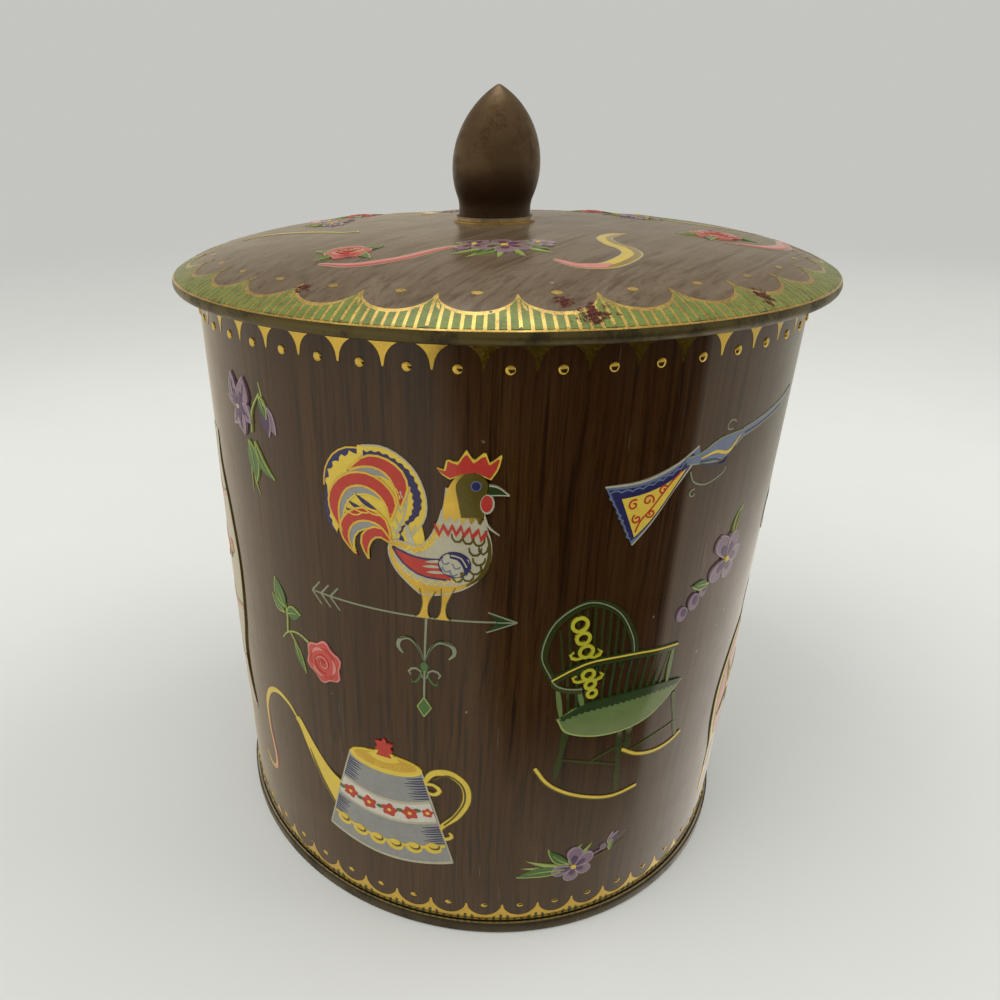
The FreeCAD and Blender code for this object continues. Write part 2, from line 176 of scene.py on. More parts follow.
def grid_quads(shape, wrap_rows=False, wrap_columns=False):
    """Corner numbers of the faces of a grid, row by row, wrapping round where asked."""
    rows, columns = shape
    number = np.arange(rows * columns).reshape(rows, columns)
    if wrap_rows:
        number = np.vstack([number, number[:1]])
    if wrap_columns:
        number = np.hstack([number, number[:, :1]])
    return side_by_side(number[:-1, :-1], number[1:, :-1], number[1:, 1:], number[:-1, 1:]).reshape(-1, 4)


def weld(points, quads, marks):
    """Joins points closer than a tenth of a micrometre. A face that loses one corner
    becomes a triangle and a face that loses two goes. The faces are turned outwards,
    which is where the sum of corner . (corner x corner) over the faces is positive."""
    keys = np.round(points * 1e4).astype(np.int64)
    _, first, same = np.unique(keys, axis=0, return_index=True, return_inverse=True)
    points, quads = points[first], same.reshape(-1)[quads]
    a, b, c, d = (points[quads[:, i]] for i in range(4))
    if np.sum(a * np.cross(b, c)) + np.sum(a * np.cross(c, d)) < 0:
        quads = quads[:, ::-1]
    repeat = quads == np.roll(quads, -1, axis=1)
    lost = repeat.sum(axis=1)
    whole, three = quads[lost == 0], quads[lost == 1]
    triangles = three[~repeat[lost == 1]].reshape(-1, 3)
    return points, whole, triangles, marks[lost == 0], marks[lost == 1]


class Shell:
    """Closed surfaces gathered into one mesh; each face carries the name of its finish."""

    def __init__(self):
        self.points, self.quads, self.triangles = [], [], []
        self.quad_marks, self.triangle_marks = [], []
        self.finishes, self.count = [], 0

    def mark(self, finish):
        if finish not in self.finishes:
            self.finishes.append(finish)
        return self.finishes.index(finish)

    def add(self, points, quads, marks):
        points, quads, triangles, quad_marks, triangle_marks = weld(points, quads, marks)
        self.points.append(points)
        self.quads.append(quads + self.count)
        self.triangles.append(triangles + self.count)
        self.quad_marks.append(quad_marks)
        self.triangle_marks.append(triangle_marks)
        self.count += len(points)

    def lathe(self, outline, finishes, radius_shift=None, bearings=None):
        """Carries a closed outline of (radius, height) once round the axis:
        x = r sin(angle), y = -r cos(angle), z = height. finishes names each edge's finish,
        and radius_shift(angle, r, z) may add to the radius."""
        angle = bearings if bearings is not None else np.linspace(0, 2 * np.pi, SIDES, endpoint=False)
        angle, radius = np.meshgrid(angle, outline[:, 0], indexing="ij")
        height = np.broadcast_to(outline[:, 1], radius.shape)
        if radius_shift is not None:
            radius = radius + radius_shift(angle, radius, height)
        points = side_by_side(radius * np.sin(angle), -radius * np.cos(angle), height)
        marks = np.array([self.mark(name) for name in finishes])
        self.add(points.reshape(-1, 3), grid_quads(radius.shape, True, True),
                 np.tile(marks, len(angle)))

    def piece(self, name, body, slot, replaces=()):
        """Makes the Blender object, smooth but for edges sharper than 38 degrees."""
        quads, triangles = np.concatenate(self.quads), np.concatenate(self.triangles)
        mesh = bpy.data.meshes.new(name)
        mesh.from_pydata((np.concatenate(self.points) * MM).tolist(), [],
                         quads.tolist() + triangles.tolist())
        marks = np.concatenate(self.quad_marks + self.triangle_marks)
        mesh.polygons.foreach_set("material_index", marks.astype(np.int32))
        for finish in self.finishes:
            mesh.materials.append(FINISHES[finish]())
        mesh.shade_smooth()
        mesh.set_sharp_from_angle(angle=SHARP_EDGE)
        mesh.update()
        piece = bpy.data.objects.new(name, mesh)
        bpy.context.collection.objects.link(piece)
        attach(piece, body)
        if replaces:
            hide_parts(*replaces)
        return piece


def arc(centre, radius, start, end, steps=12):
    """Points on a circle in the (radius, height) plane: centre + radius (cos, sin)."""
    turn = np.radians(np.linspace(start, end, steps))
    return ring_of(*centre, radius, radius, turn)


def path_of(*runs):
    """Joins points and arcs into one line and drops points that repeat."""
    line = np.concatenate([np.atleast_2d(np.asarray(run, float)) for run in runs])
    keep = np.r_[True, np.hypot(*np.diff(line, axis=0).T) > 1e-4]
    return line[keep]


def sheet_outline(line, thickness, outer, inner, edge):
    """Thickens a line into a sheet: the line is one face, and the other lies one
    thickness to its right. Returns the closed outline and the finish of each edge."""
    along = np.gradient(line, axis=0)
    along /= np.hypot(along[:, 0], along[:, 1])[:, None]
    other = line + thickness * side_by_side(along[:, 1], -along[:, 0])
    count = len(line)
    names = [outer] * (count - 1) + [edge] + [inner] * (count - 1) + [edge]
    return np.concatenate([line, other[::-1]]), names


# ---------------------------------------------------------------- drawing on the tin

def on_wall(across, up, lift):
    """A place on the wall: arc length from the front, height, and height above the sheet.
    x = R sin(a / R0), y = -R cos(a / R0), where R = R0 + lift."""
    angle, radius = across / WALL_RADIUS, WALL_RADIUS + lift
    return side_by_side(radius * np.sin(angle), -radius * np.cos(angle), np.broadcast_to(up, angle.shape))


# The lid's upper face, from the rim inward: rim, brow, shoulder, crown and the knob's seat.
# Each arc meets the next at its slope.
BROW_SLOPE, SHOULDER_SLOPE, CROWN_SLOPE = math.radians(30), math.radians(16.5), math.radians(5.5)
BROW_BEND, SHOULDER_BEND, SEAT_EDGE = 35.0, 80.0, 9.975
BROW_CENTRE = RIM_CENTRE - (BROW_BEND - RIM_ROLL) * math.sin(BROW_SLOPE)
BROW_LEVEL = RIM_LEVEL - (BROW_BEND - RIM_ROLL) * math.cos(BROW_SLOPE)
SHOULDER_CENTRE = BROW_CENTRE - (SHOULDER_BEND - BROW_BEND) * math.sin(SHOULDER_SLOPE)
SHOULDER_LEVEL = BROW_LEVEL - (SHOULDER_BEND - BROW_BEND) * math.cos(SHOULDER_SLOPE)
CROWN_BEND = SHOULDER_BEND + (SHOULDER_CENTRE - SEAT_EDGE) / math.sin(CROWN_SLOPE)
CROWN_END = SEAT_EDGE + CROWN_BEND * math.sin(CROWN_SLOPE)
SHOULDER_END = SHOULDER_CENTRE + SHOULDER_BEND * math.sin(SHOULDER_SLOPE)
BROW_END = BROW_CENTRE + BROW_BEND * math.sin(BROW_SLOPE)


def lid_height(radius):
    """Height and slope of the lid's upper face: a flat seat, then four arcs that meet
    with one slope, each z = centre + sqrt(bend^2 - (r - centre radius)^2)."""
    def dome(centre, level, bend):
        reach = np.clip(radius - centre, 0, bend * 0.95)
        rise = np.sqrt(bend ** 2 - reach ** 2)
        return level + rise, -reach / rise
    crown = dome(SEAT_EDGE, SEAT_LEVEL - CROWN_BEND, CROWN_BEND)
    shoulder = dome(SHOULDER_CENTRE, SHOULDER_LEVEL, SHOULDER_BEND)
    brow = dome(BROW_CENTRE, BROW_LEVEL, BROW_BEND)
    rim = dome(RIM_CENTRE, RIM_LEVEL, RIM_ROLL)
    return tuple(np.select([radius < CROWN_END, radius < SHOULDER_END, radius < BROW_END],
                           [crown[i], shoulder[i], brow[i]], rim[i]) for i in (0, 1))


def on_lid(across, back, lift):
    """A place on the lid: plan x and y, and height square to the dome."""
    radius = np.maximum(np.hypot(across, back), 1e-6)
    height, slope = lid_height(radius)
    steep = np.sqrt(1 + slope ** 2)
    out = lift * -slope / steep
    return side_by_side(across * (1 + out / radius), back * (1 + out / radius), height + lift / steep)


def round_lid(angle, radius, lift):
    """A place on the lid from its bearing and its radius."""
    return on_lid(radius * np.sin(angle), -radius * np.cos(angle), lift)


def curve_through(points, count, corners=False):
    """A Catmull-Rom line through the points, or straight runs between them,
    as count points spread evenly along its length."""
    points = np.asarray(points, float)
    if corners or len(points) < 3:
        line = points
    else:
        ends = np.vstack([2 * points[0] - points[1], points, 2 * points[-1] - points[-2]])
        a, b, c, d = ends[:-3, None], ends[1:-2, None], ends[2:-1, None], ends[3:, None]
        t = np.linspace(0, 1, 12, endpoint=False)[None, :, None]
        line = 0.5 * (2 * b + (c - a) * t + (2 * a - 5 * b + 4 * c - d) * t ** 2
                      + (3 * b - a - 3 * c + d) * t ** 3)
        line = np.vstack([line.reshape(-1, points.shape[1]), points[-1:]])
    step = np.hypot(*np.diff(line[:, :2], axis=0).T)
    length = np.r_[0, np.cumsum(step)]
    if corners:
        spread = np.union1d(np.linspace(0, length[-1], max(count - len(points), 2)), length)
    else:
        spread = np.linspace(0, length[-1], count)
    return side_by_side(*(np.interp(spread, length, column) for column in line.T))


def along(line, count):
    """The same line again with count points spread evenly."""
    length = np.r_[0, np.cumsum(np.hypot(*np.diff(line[:, :2], axis=0).T))]
    spread = np.linspace(0, length[-1], count)
    return side_by_side(*(np.interp(spread, length, column) for column in line.T))


def run_length(line):
    return float(np.hypot(*np.diff(np.asarray(line, float)[:, :2], axis=0).T).sum())


def toothed(points, teeth, depth):
    """A line with teeth: each tooth's tip stands depth to the left of the line."""
    line = curve_through(points, 2 * teeth + 1)
    side = np.gradient(line, axis=0)
    side /= np.hypot(side[:, 0], side[:, 1])[:, None]
    left = side_by_side(-side[:, 1], side[:, 0])
    return line + left * (depth * (np.arange(2 * teeth + 1) % 2))[:, None]


class Drawing(Shell):
    """Thin closed patches of ink. A patch is a grid of places (across, up) in
    millimetres. Its face stands at the relief under the picture plus a lift for its
    layer; its edges and its back reach under the surface, so every patch is closed."""

    def __init__(self, surface, at=(0, 0), size=1.0, turn=0.0, mirror=1, bulges=()):
        super().__init__()
        self.surface = surface
        self.move(at, size, turn, mirror)
        self.bulges = bulges

    def move(self, at, size=1.0, turn=0.0, mirror=1):
        """Sets where the following patches go; turn is in degrees, leftwards."""
        self.at, self.size, self.turn, self.mirror = at, size, math.radians(turn), mirror
        self.bulges = ()
        return self

    def relief(self, x, y):
        """The highest of the picture's bulges, each height (1 - d^2) over its ellipse."""
        height = np.zeros(np.shape(x))
        for cx, cy, rx, ry, part in self.bulges:
            d = ((x - cx) / rx) ** 2 + ((y - cy) / ry) ** 2
            height = np.maximum(height, part * np.clip(1 - d, 0, 1))
        return height * sizes().relief / MM

    def set_down(self, x, y, lift):
        x = x * self.mirror
        cos, sin = math.cos(self.turn) * self.size, math.sin(self.turn) * self.size
        return self.surface(self.at[0] + cos * x - sin * y, self.at[1] + sin * x + cos * y, lift)

    def patch(self, x, y, ink, layer, rise=0.0, around=False):
        lift = self.relief(x, y) + layer * LAYER + rise
        pad = ((0, 0), (1, 1)) if around else ((1, 1), (1, 1))
        wide_x, wide_y = np.pad(x, pad, mode="edge"), np.pad(y, pad, mode="edge")
        top = self.set_down(wide_x, wide_y, np.pad(lift, pad, constant_values=-SUNK))
        back = self.set_down(x, y, np.full(x.shape, -SUNK))
        faces = grid_quads(wide_x.shape, around)
        under = grid_quads(x.shape, around)[:, ::-1] + wide_x.size
        quads = np.concatenate([faces, under])
        self.add(np.concatenate([top.reshape(-1, 3), back.reshape(-1, 3)]), quads,
                 np.full(len(quads), self.mark(ink)))

    def blade(self, left, right, ink, layer, corners=False, edge=None, edge_width=0.32):
        """Fills between two lines: P = (1 - v) left(u) + v right(u)."""
        count = int(np.clip(max(run_length(left), run_length(right)) / 0.8, 8, 60))
        if corners:
            left, right = (curve_through(side, count, True) for side in (left, right))
            count = max(len(left), len(right))
            left, right = along(left, count), along(right, count)
        else:
            left, right = curve_through(left, count), curve_through(right, count)
        width = np.hypot(*(left - right).T).max()
        v = np.linspace(0, 1, int(np.clip(width / 1.5, 2, 14)) + 1)[None, :, None]
        grid = left[:, None] * (1 - v) + right[:, None] * v
        self.patch(grid[..., 0], grid[..., 1], ink, layer)
        if edge:
            for side in (left, right):
                self.stroke(side[:: 1 if corners else 2] if count > 12 else side, edge_width,
                            edge, layer + 0.5, exact=True)

    def stroke(self, points, width, ink, layer, exact=False):
        """A line of ink: the path plus and minus half its width along its left side.
        width is one number or one for each point; exact keeps the points as they are."""
        points = np.asarray(points, float)
        width = np.broadcast_to(np.asarray(width, float), len(points))
        tagged = np.column_stack([points, width])
        count = int(np.clip(run_length(points) / 0.7, 5, 70))
        line = tagged if exact else curve_through(tagged, count)
        side = np.gradient(line[:, :2], axis=0)
        side /= np.maximum(np.hypot(side[:, 0], side[:, 1]), 1e-9)[:, None]
        left = side_by_side(-side[:, 1], side[:, 0]) * line[:, 2:3] / 2
        v = np.array([-1.0, 0.0, 1.0])[None, :, None]
        grid = line[:, None, :2] + left[:, None] * v
        self.patch(grid[..., 0], grid[..., 1], ink, layer)

    def disc(self, x, y, rx, ry, ink, layer, lobes=0, depth=0.0, phase=0.0, dome=0.0, steps=14):
        """A round or lobed patch: radius = 1 + depth cos(lobes angle), its right and left
        halves joined across. dome lifts its middle by dome sqrt(1 - d^2)."""
        turn = np.pi * (1 - np.cos(np.linspace(0, np.pi, steps))) / 2

        def half(sign):
            angle = np.pi / 2 + sign * turn
            reach = 1 + depth * np.cos(lobes * (angle - phase)) if lobes else 1.0
            return side_by_side(reach * np.cos(angle), reach * np.sin(angle))
        v = ((1 - np.cos(np.linspace(0, np.pi, max(4, steps * 2 // 3)))) / 2)[None, :, None]
        grid = half(1)[:, None] * (1 - v) + half(-1)[:, None] * v
        gx, gy = grid[..., 0], grid[..., 1]
        rise = dome * np.sqrt(np.clip(1 - gx ** 2 - gy ** 2, 0, 1))
        self.patch(x + rx * gx, y + ry * gy, ink, layer, rise)

    def loop(self, x, y, rx, ry, width, ink, layer, start=0, end=360):
        """A stroke along an ellipse."""
        turn = np.radians(np.linspace(start, end, 25))
        self.stroke(ring_of(x, y, rx, ry, turn), width, ink, layer, exact=True)

    def leaf(self, base, tip, width, ink, layer, bend=0.0, edge="lime", vein="lime"):
        """A pointed blade from base to tip; bend moves its middle sideways."""
        base, tip = np.asarray(base, float), np.asarray(tip, float)
        run = tip - base
        left = np.array([-run[1], run[0]]) / np.hypot(*run)
        part = np.array([0, 0.25, 0.5, 0.78, 1.0])[:, None]
        spine = base + run * part + left * bend * np.sin(np.pi * part)
        half = left * width / 2 * np.array([0, 0.82, 1.0, 0.6, 0])[:, None]
        self.blade(spine + half, spine - half, ink, layer)
        if edge:
            self.stroke(spine + half, 0.26, edge, layer + 1)
        if vein:
            self.stroke(spine[:4], (0.3, 0.24, 0.18, 0.05), vein, layer + 1.5)


# ---------------------------------------------------------------- finishes

class Nodes:
    """A node tree with short calls for the nodes that the finishes use."""

    def __init__(self, tree):
        self.tree = tree
        tree.nodes.clear()

    def node(self, kind, settings=(), **inputs):
        node = self.tree.nodes.new(kind)
        for name, value in dict(settings).items():
            setattr(node, name, value)
        return self.fill(node, **inputs)

    def fill(self, node, **inputs):
        """Feeds a node's sockets by name."""
        for name, value in inputs.items():
            self.feed(node.inputs[name.replace("_", " ")], value)
        return node

    def feed(self, socket, value):
        """Links a socket, or sets it to a number or a colour."""
        if isinstance(value, bpy.types.NodeSocket):
            self.tree.links.new(value, socket)
        elif value is not None:
            if socket.type == "RGBA" and len(value) == 3:
                value = (*value, 1.0)
            socket.default_value = value

    def math(self, operation, *values):
        node = self.node("ShaderNodeMath", {"operation": operation})
        for socket, value in zip(node.inputs, values):
            self.feed(socket, value)
        return node.outputs[0]

    def plus(self, first, second):
        return self.math("ADD", first, second)

    def minus(self, first, second):
        return self.math("SUBTRACT", first, second)

    def times(self, first, second):
        return self.math("MULTIPLY", first, second)

    def vector(self, operation, *values):
        node = self.node("ShaderNodeVectorMath", {"operation": operation})
        for socket, value in zip(node.inputs, values):
            self.feed(socket, value)
        return node.outputs["Value" if operation in ("DISTANCE", "LENGTH", "DOT_PRODUCT") else "Vector"]

    def scale(self, vector, by):
        node = self.vector("SCALE", vector).node
        self.feed(node.inputs["Scale"], by)
        return node.outputs["Vector"]

    def noise(self, vector, scale, detail=4.0, roughness=0.55):
        return self.node("ShaderNodeTexNoise", Vector=vector, Scale=scale, Detail=detail,
                         Roughness=roughness).outputs["Fac"]

    def ramp(self, value, low, high):
        """0 below low, 1 above high, smooth between."""
        return self.node("ShaderNodeMapRange", {"interpolation_type": "SMOOTHSTEP"}, Value=value,
                         From_Min=low, From_Max=high).outputs["Result"]

    def mix(self, part, first, second):
        """Colours mixed: first where part is 0, second where it is 1."""
        node = self.node("ShaderNodeMix", {"data_type": "RGBA"})
        for name, value in (("Factor_Float", part), ("A_Color", first), ("B_Color", second)):
            socket = next(s for s in node.inputs if s.identifier == name)
            self.feed(socket, value)
        return next(s for s in node.outputs if s.identifier == "Result_Color")

    def stretch(self, vector, scale, turn=(0, 0, 0)):
        return self.node("ShaderNodeMapping", Vector=vector, Scale=scale, Rotation=turn).outputs[0]

    def group(self, tree, **inputs):
        return self.node("ShaderNodeGroup", {"node_tree": tree}, **inputs).outputs


def node_group(name, inputs, outputs):
    """An empty group with its sockets; returns its Nodes, its inputs and its outputs."""
    tree = bpy.data.node_groups.new(name, "ShaderNodeTree")
    kinds = {"vector": "NodeSocketVector", "colour": "NodeSocketColor", "value": "NodeSocketFloat"}
    for label, (kind, default) in inputs.items():
        socket = tree.interface.new_socket(name=label, in_out="INPUT", socket_type=kinds[kind])
        if default is not None:
            socket.default_value = default
    for label, kind in outputs.items():
        tree.interface.new_socket(name=label, in_out="OUTPUT", socket_type=kinds[kind])
    nodes = Nodes(tree)
    return nodes, nodes.node("NodeGroupInput").outputs, nodes.node("NodeGroupOutput").inputs


def shared(build):
    """Builds a node group once and hands out the same one after that."""
    def get():
        name = build.__name__
        return bpy.data.node_groups.get(name) or build(name)
    return get


@shared
def Wood_grain(name):
    """Printed wood: long streaks along Z of the given vector, broad bands, fine pores.
    The vector comes in millimetres, already turned so that the grain runs along Z."""
    nodes, given, out = node_group(
        name, {"Vector": ("vector", None), "Dark": ("colour", (0.01, 0.003, 0.001, 1)),
               "Middle": ("colour", (0.03, 0.012, 0.004, 1)), "Light": ("colour", (0.06, 0.03, 0.01, 1))},
        {"Color": "colour", "Streak": "value"})
    sway = nodes.noise(nodes.stretch(given["Vector"], (0.05, 0.05, 0.012)), 1.0, 2.0)
    drift = nodes.scale(nodes.node("ShaderNodeCombineXYZ", X=sway, Y=sway).outputs[0], 5.0)
    bent = nodes.vector("ADD", given["Vector"], drift)
    broad = nodes.noise(nodes.stretch(bent, (0.16, 0.16, 0.006)), 1.0, 3.0)
    streak = nodes.noise(nodes.stretch(bent, (0.95, 0.95, 0.022)), 1.0, 5.0, 0.62)
    pore = nodes.noise(nodes.stretch(bent, (4.2, 4.2, 0.11)), 1.0, 3.0, 0.6)
    light = nodes.ramp(nodes.plus(nodes.times(broad, 0.45),
                                  nodes.times(streak, 0.55)), 0.42, 0.66)
    dark = nodes.ramp(streak, 0.50, 0.33)
    fine = nodes.ramp(pore, 0.52, 0.36)
    base = nodes.mix(light, given["Middle"], given["Light"])
    base = nodes.mix(nodes.times(dark, 0.7), base, given["Dark"])
    base = nodes.mix(nodes.times(fine, 0.3), base, given["Dark"])
    nodes.feed(out["Color"], base)
    nodes.feed(out["Streak"], streak)
    return nodes.tree


@shared
def Print_wear(name):
    """What years of handling leave on lacquer: hair scratches, pinprick chips, smudges
    and shallow dents. The vector comes in millimetres."""
    nodes, given, out = node_group(name, {"Vector": ("vector", None), "Amount": ("value", 1.0)},
                                   {"Scratch": "value", "Chip": "value", "Smudge": "value",
                                    "Dent": "value"})
    lines = []
    for turn, scale in (((0.3, 0.2, 0.5), (2.6, 0.05, 0.07)), ((1.1, 0.7, -0.4), (2.2, 0.06, 0.05))):
        fine = nodes.noise(nodes.stretch(given["Vector"], scale, turn), 1.0, 1.0)
        lines.append(nodes.ramp(fine, 0.735, 0.775))
    patchy = nodes.ramp(nodes.noise(given["Vector"], 0.045, 2.0), 0.5, 0.68)
    scratch = nodes.times(nodes.math("MAXIMUM", *lines), patchy)
    nodes.feed(out["Scratch"], nodes.times(scratch, given["Amount"]))
    spots = nodes.node("ShaderNodeTexVoronoi", {"feature": "F1"}, Vector=given["Vector"],
                       Scale=0.16).outputs["Distance"]
    wide = nodes.noise(given["Vector"], 0.9, 2.0)
    chip = nodes.ramp(nodes.plus(spots, nodes.times(wide, 0.14)), 0.135, 0.105)
    some = nodes.ramp(nodes.noise(given["Vector"], 0.07, 1.0), 0.52, 0.60)
    nodes.feed(out["Chip"], nodes.times(nodes.times(chip, some), given["Amount"]))
    nodes.feed(out["Smudge"], nodes.noise(given["Vector"], 0.11, 4.0, 0.6))
    nodes.feed(out["Dent"], nodes.noise(given["Vector"], 0.035, 1.5, 0.5))
    return nodes.tree


@shared
def Ink_tone(name):
    """Screened printing ink: a fine mottle, slightly thin and thick places and worn specks
    that let the ground through. The vector comes in millimetres."""
    nodes, given, out = node_group(
        name, {"Vector": ("vector", None), "Ink": ("colour", (0.5, 0.5, 0.5, 1)),
               "Ground": ("colour", (0.03, 0.012, 0.004, 1)), "Mottle": ("value", 0.5)},
        {"Color": "colour", "Grain": "value", "Worn": "value"})
    grain = nodes.noise(given["Vector"], 2.4, 3.0, 0.7)
    cloud = nodes.noise(given["Vector"], 0.33, 3.0, 0.6)
    shade = nodes.plus(nodes.times(nodes.minus(grain, 0.5), 1.1),
                       nodes.times(nodes.minus(cloud, 0.5), 1.0))
    level = nodes.plus(1.0, nodes.times(shade, given["Mottle"]))
    inked = nodes.scale(given["Ink"], level)
    worn = nodes.ramp(nodes.noise(given["Vector"], 1.3, 4.0, 0.75), 0.66, 0.74)
    nodes.feed(out["Color"], nodes.mix(nodes.times(worn, 0.7), inked, given["Ground"]))
    nodes.feed(out["Grain"], grain)
    nodes.feed(out["Worn"], worn)
    return nodes.tree


@shared
def Rust_bloom(name):
    """Rust that has broken through where Near is high: a ragged mask, its colour and height."""
    nodes, given, out = node_group(name, {"Vector": ("vector", None), "Near": ("value", 0.0)},
                                   {"Mask": "value", "Color": "colour", "Height": "value"})
    ragged = nodes.noise(given["Vector"], 0.75, 6.0, 0.72)
    mask = nodes.ramp(nodes.plus(given["Near"], ragged), 1.02, 1.14)
    fleck = nodes.noise(given["Vector"], 2.6, 4.0, 0.7)
    tint = nodes.mix(nodes.ramp(fleck, 0.38, 0.62), (0.030, 0.009, 0.006), (0.130, 0.040, 0.026))
    nodes.feed(out["Mask"], mask)
    nodes.feed(out["Color"], tint)
    nodes.feed(out["Height"], fleck)
    return nodes.tree


@shared
def Metal_skin(name):
    """Rolled and spun metal: fine turning lines round the axis, stains and bright rubs.
    The vector comes in millimetres."""
    nodes, given, out = node_group(
        name, {"Vector": ("vector", None), "Metal": ("colour", (0.5, 0.5, 0.5, 1)),
               "Stain": ("colour", (0.1, 0.06, 0.03, 1)), "Age": ("value", 0.5)},
        {"Color": "colour", "Rough": "value", "Lines": "value"})
    parts = nodes.node("ShaderNodeSeparateXYZ", Vector=given["Vector"]).outputs
    radius = nodes.math("SQRT", nodes.plus(nodes.times(parts[0], parts[0]),
                                           nodes.times(parts[1], parts[1])))
    rings = nodes.node("ShaderNodeCombineXYZ", X=radius, Z=parts[2]).outputs[0]
    lines = nodes.noise(nodes.stretch(rings, (3.5, 1.0, 3.5)), 1.0, 3.0, 0.7)
    cloud = nodes.noise(given["Vector"], 0.12, 5.0, 0.65)
    speck = nodes.noise(given["Vector"], 1.7, 4.0, 0.7)
    stain = nodes.ramp(nodes.plus(nodes.times(cloud, 0.75),
                                  nodes.times(speck, 0.25)), 0.46, 0.66)
    part = nodes.times(stain, given["Age"])
    nodes.feed(out["Color"], nodes.mix(part, given["Metal"], given["Stain"]))
    rough = nodes.plus(nodes.times(cloud, 0.28), nodes.times(part, 0.25))
    nodes.feed(out["Rough"], nodes.plus(rough, 0.14))
    nodes.feed(out["Lines"], lines)
    return nodes.tree


def new_finish(name):
    """An empty material, its Nodes, its shader and its place in millimetres."""
    material = bpy.data.materials.new(name)
    material.use_nodes = True
    nodes = Nodes(material.node_tree)
    shader = nodes.node("ShaderNodeBsdfPrincipled")
    end = nodes.node("ShaderNodeOutputMaterial")
    nodes.feed(end.inputs["Surface"], shader.outputs[0])
    return material, nodes, shader, nodes.scale(nodes.node("ShaderNodeTexCoord").outputs["Object"], 1 / MM)


def bump(nodes, shader, height, strength, distance):
    node = nodes.node("ShaderNodeBump", Height=height, Strength=strength, Distance=distance)
    nodes.feed(shader.inputs["Normal"], node.outputs[0])


def once(build):
    """Makes a material the first time it is asked for."""
    def get():
        return bpy.data.materials.get(build.__name__) or build(build.__name__)
    get.__name__ = build.__name__
    return get


# Rust patches on the lid: bearing in degrees, radius and reach in millimetres
RUST_ON_LID = ((12.7, 69.8, 10.5), (9.6, 66.5, 6.0), (39.8, 69.5, 7.0),
               (-29.2, 65.6, 5.5), (108.0, 68.5, 7.0), (-142.0, 67.0, 8.0))


def lid_spot(bearing, radius):
    return round_lid(np.array(math.radians(bearing)), np.array(float(radius)), 0.0)


def rust_on_lid(nodes, place):
    """Nearness to the lid's rust patches: the highest of 1 - distance / reach."""
    near = None
    for bearing, radius, reach in RUST_ON_LID:
        far = nodes.vector("DISTANCE", place, tuple(float(v) for v in lid_spot(bearing, radius)))
        value = nodes.minus(1.0, nodes.math("DIVIDE", far, reach))
        near = value if near is None else nodes.math("MAXIMUM", near, value)
    near = nodes.times(nodes.math("MAXIMUM", near, 0.0), 0.75)
    return nodes.group(Rust_bloom(), Vector=place, Near=near)


def wood_finish(name, dark, middle, light, grain, on_the_lid):
    """Wood-print lacquer over tinplate: grain, smudged gloss, hair scratches and chips
    that show bare metal, under a clear varnish."""
    material, nodes, shader, place = new_finish(name)
    wood = nodes.group(Wood_grain(), Vector=grain(nodes, place), Dark=dark, Middle=middle, Light=light)
    wear = nodes.group(Print_wear(), Vector=place, Amount=1.0)
    base = nodes.mix(nodes.times(wear["Scratch"], 0.35), wood["Color"], (0.26, 0.22, 0.16))
    base = nodes.mix(nodes.times(wear["Chip"], 0.8), base, (0.34, 0.29, 0.20))
    rough = nodes.plus(nodes.times(wear["Smudge"], 0.34), 0.14)
    height = nodes.plus(nodes.times(wear["Dent"], 1.0),
                        nodes.times(wood["Streak"], 0.006))
    if on_the_lid:
        rust = rust_on_lid(nodes, place)
        base = nodes.mix(rust["Mask"], base, rust["Color"])
        rough = nodes.plus(rough, nodes.times(rust["Mask"], 0.5))
        nodes.fill(shader, Coat_Weight=nodes.times(nodes.minus(1.0, rust["Mask"]), 0.6))
    else:
        nodes.fill(shader, Coat_Weight=1.0)
    nodes.fill(shader, Base_Color=base, Roughness=rough, Specular_IOR_Level=0.15,
               Coat_Roughness=0.22 if on_the_lid else 0.06, Coat_IOR=1.5)
    bump(nodes, shader, height, 0.35, 0.0018 if on_the_lid else 0.0009)
    return material


@once
def Wall_wood(name):
    tone = colours()
    return wood_finish(name, tone.wood_dark, tone.wood_mid, tone.wood_light,
                       lambda nodes, place: place, False)


@once
def Lid_wood(name):
    """The lid's print has its grain lying across it, leftwards at the front."""
    tone = colours()
    return wood_finish(name, tone.lid_dark, tone.lid_mid, tone.lid_light,
                       lambda nodes, place: nodes.stretch(
                           nodes.stretch(place, (1, 1, 1), (0, 0, math.radians(31))),
                           (1, 1, 1), (math.radians(90), 0, 0)), True)


@once
def Bare_tin(name):
    material, nodes, shader, place = new_finish(name)
    skin = nodes.group(Metal_skin(), Vector=place, Metal=colours().tin, Stain=(0.30, 0.24, 0.15), Age=0.7)
    nodes.fill(shader, Base_Color=skin["Color"], Roughness=nodes.plus(skin["Rough"], 0.08), Metallic=1.0)
    bump(nodes, shader, skin["Lines"], 0.25, 0.0001)
    return material


@once
def Seam_lacquer(name):
    """The bottom seam: dark gold lacquer, rubbed brighter in places."""
    material, nodes, shader, place = new_finish(name)
    tone = colours()
    skin = nodes.group(Metal_skin(), Vector=place, Metal=(0.055, 0.040, 0.014), Stain=(0.012, 0.008, 0.003),
                       Age=0.9)
    wear = nodes.group(Print_wear(), Vector=place, Amount=1.0)
    base = nodes.mix(nodes.times(wear["Scratch"], 0.5), skin["Color"], tone.gold)
    nodes.fill(shader, Base_Color=base, Roughness=nodes.plus(skin["Rough"], 0.12),
               Metallic=nodes.minus(0.75, nodes.times(wear["Smudge"], 0.3)), Coat_Weight=0.4,
               Coat_Roughness=0.2)
    bump(nodes, shader, skin["Lines"], 0.2, 0.0001)
    return material


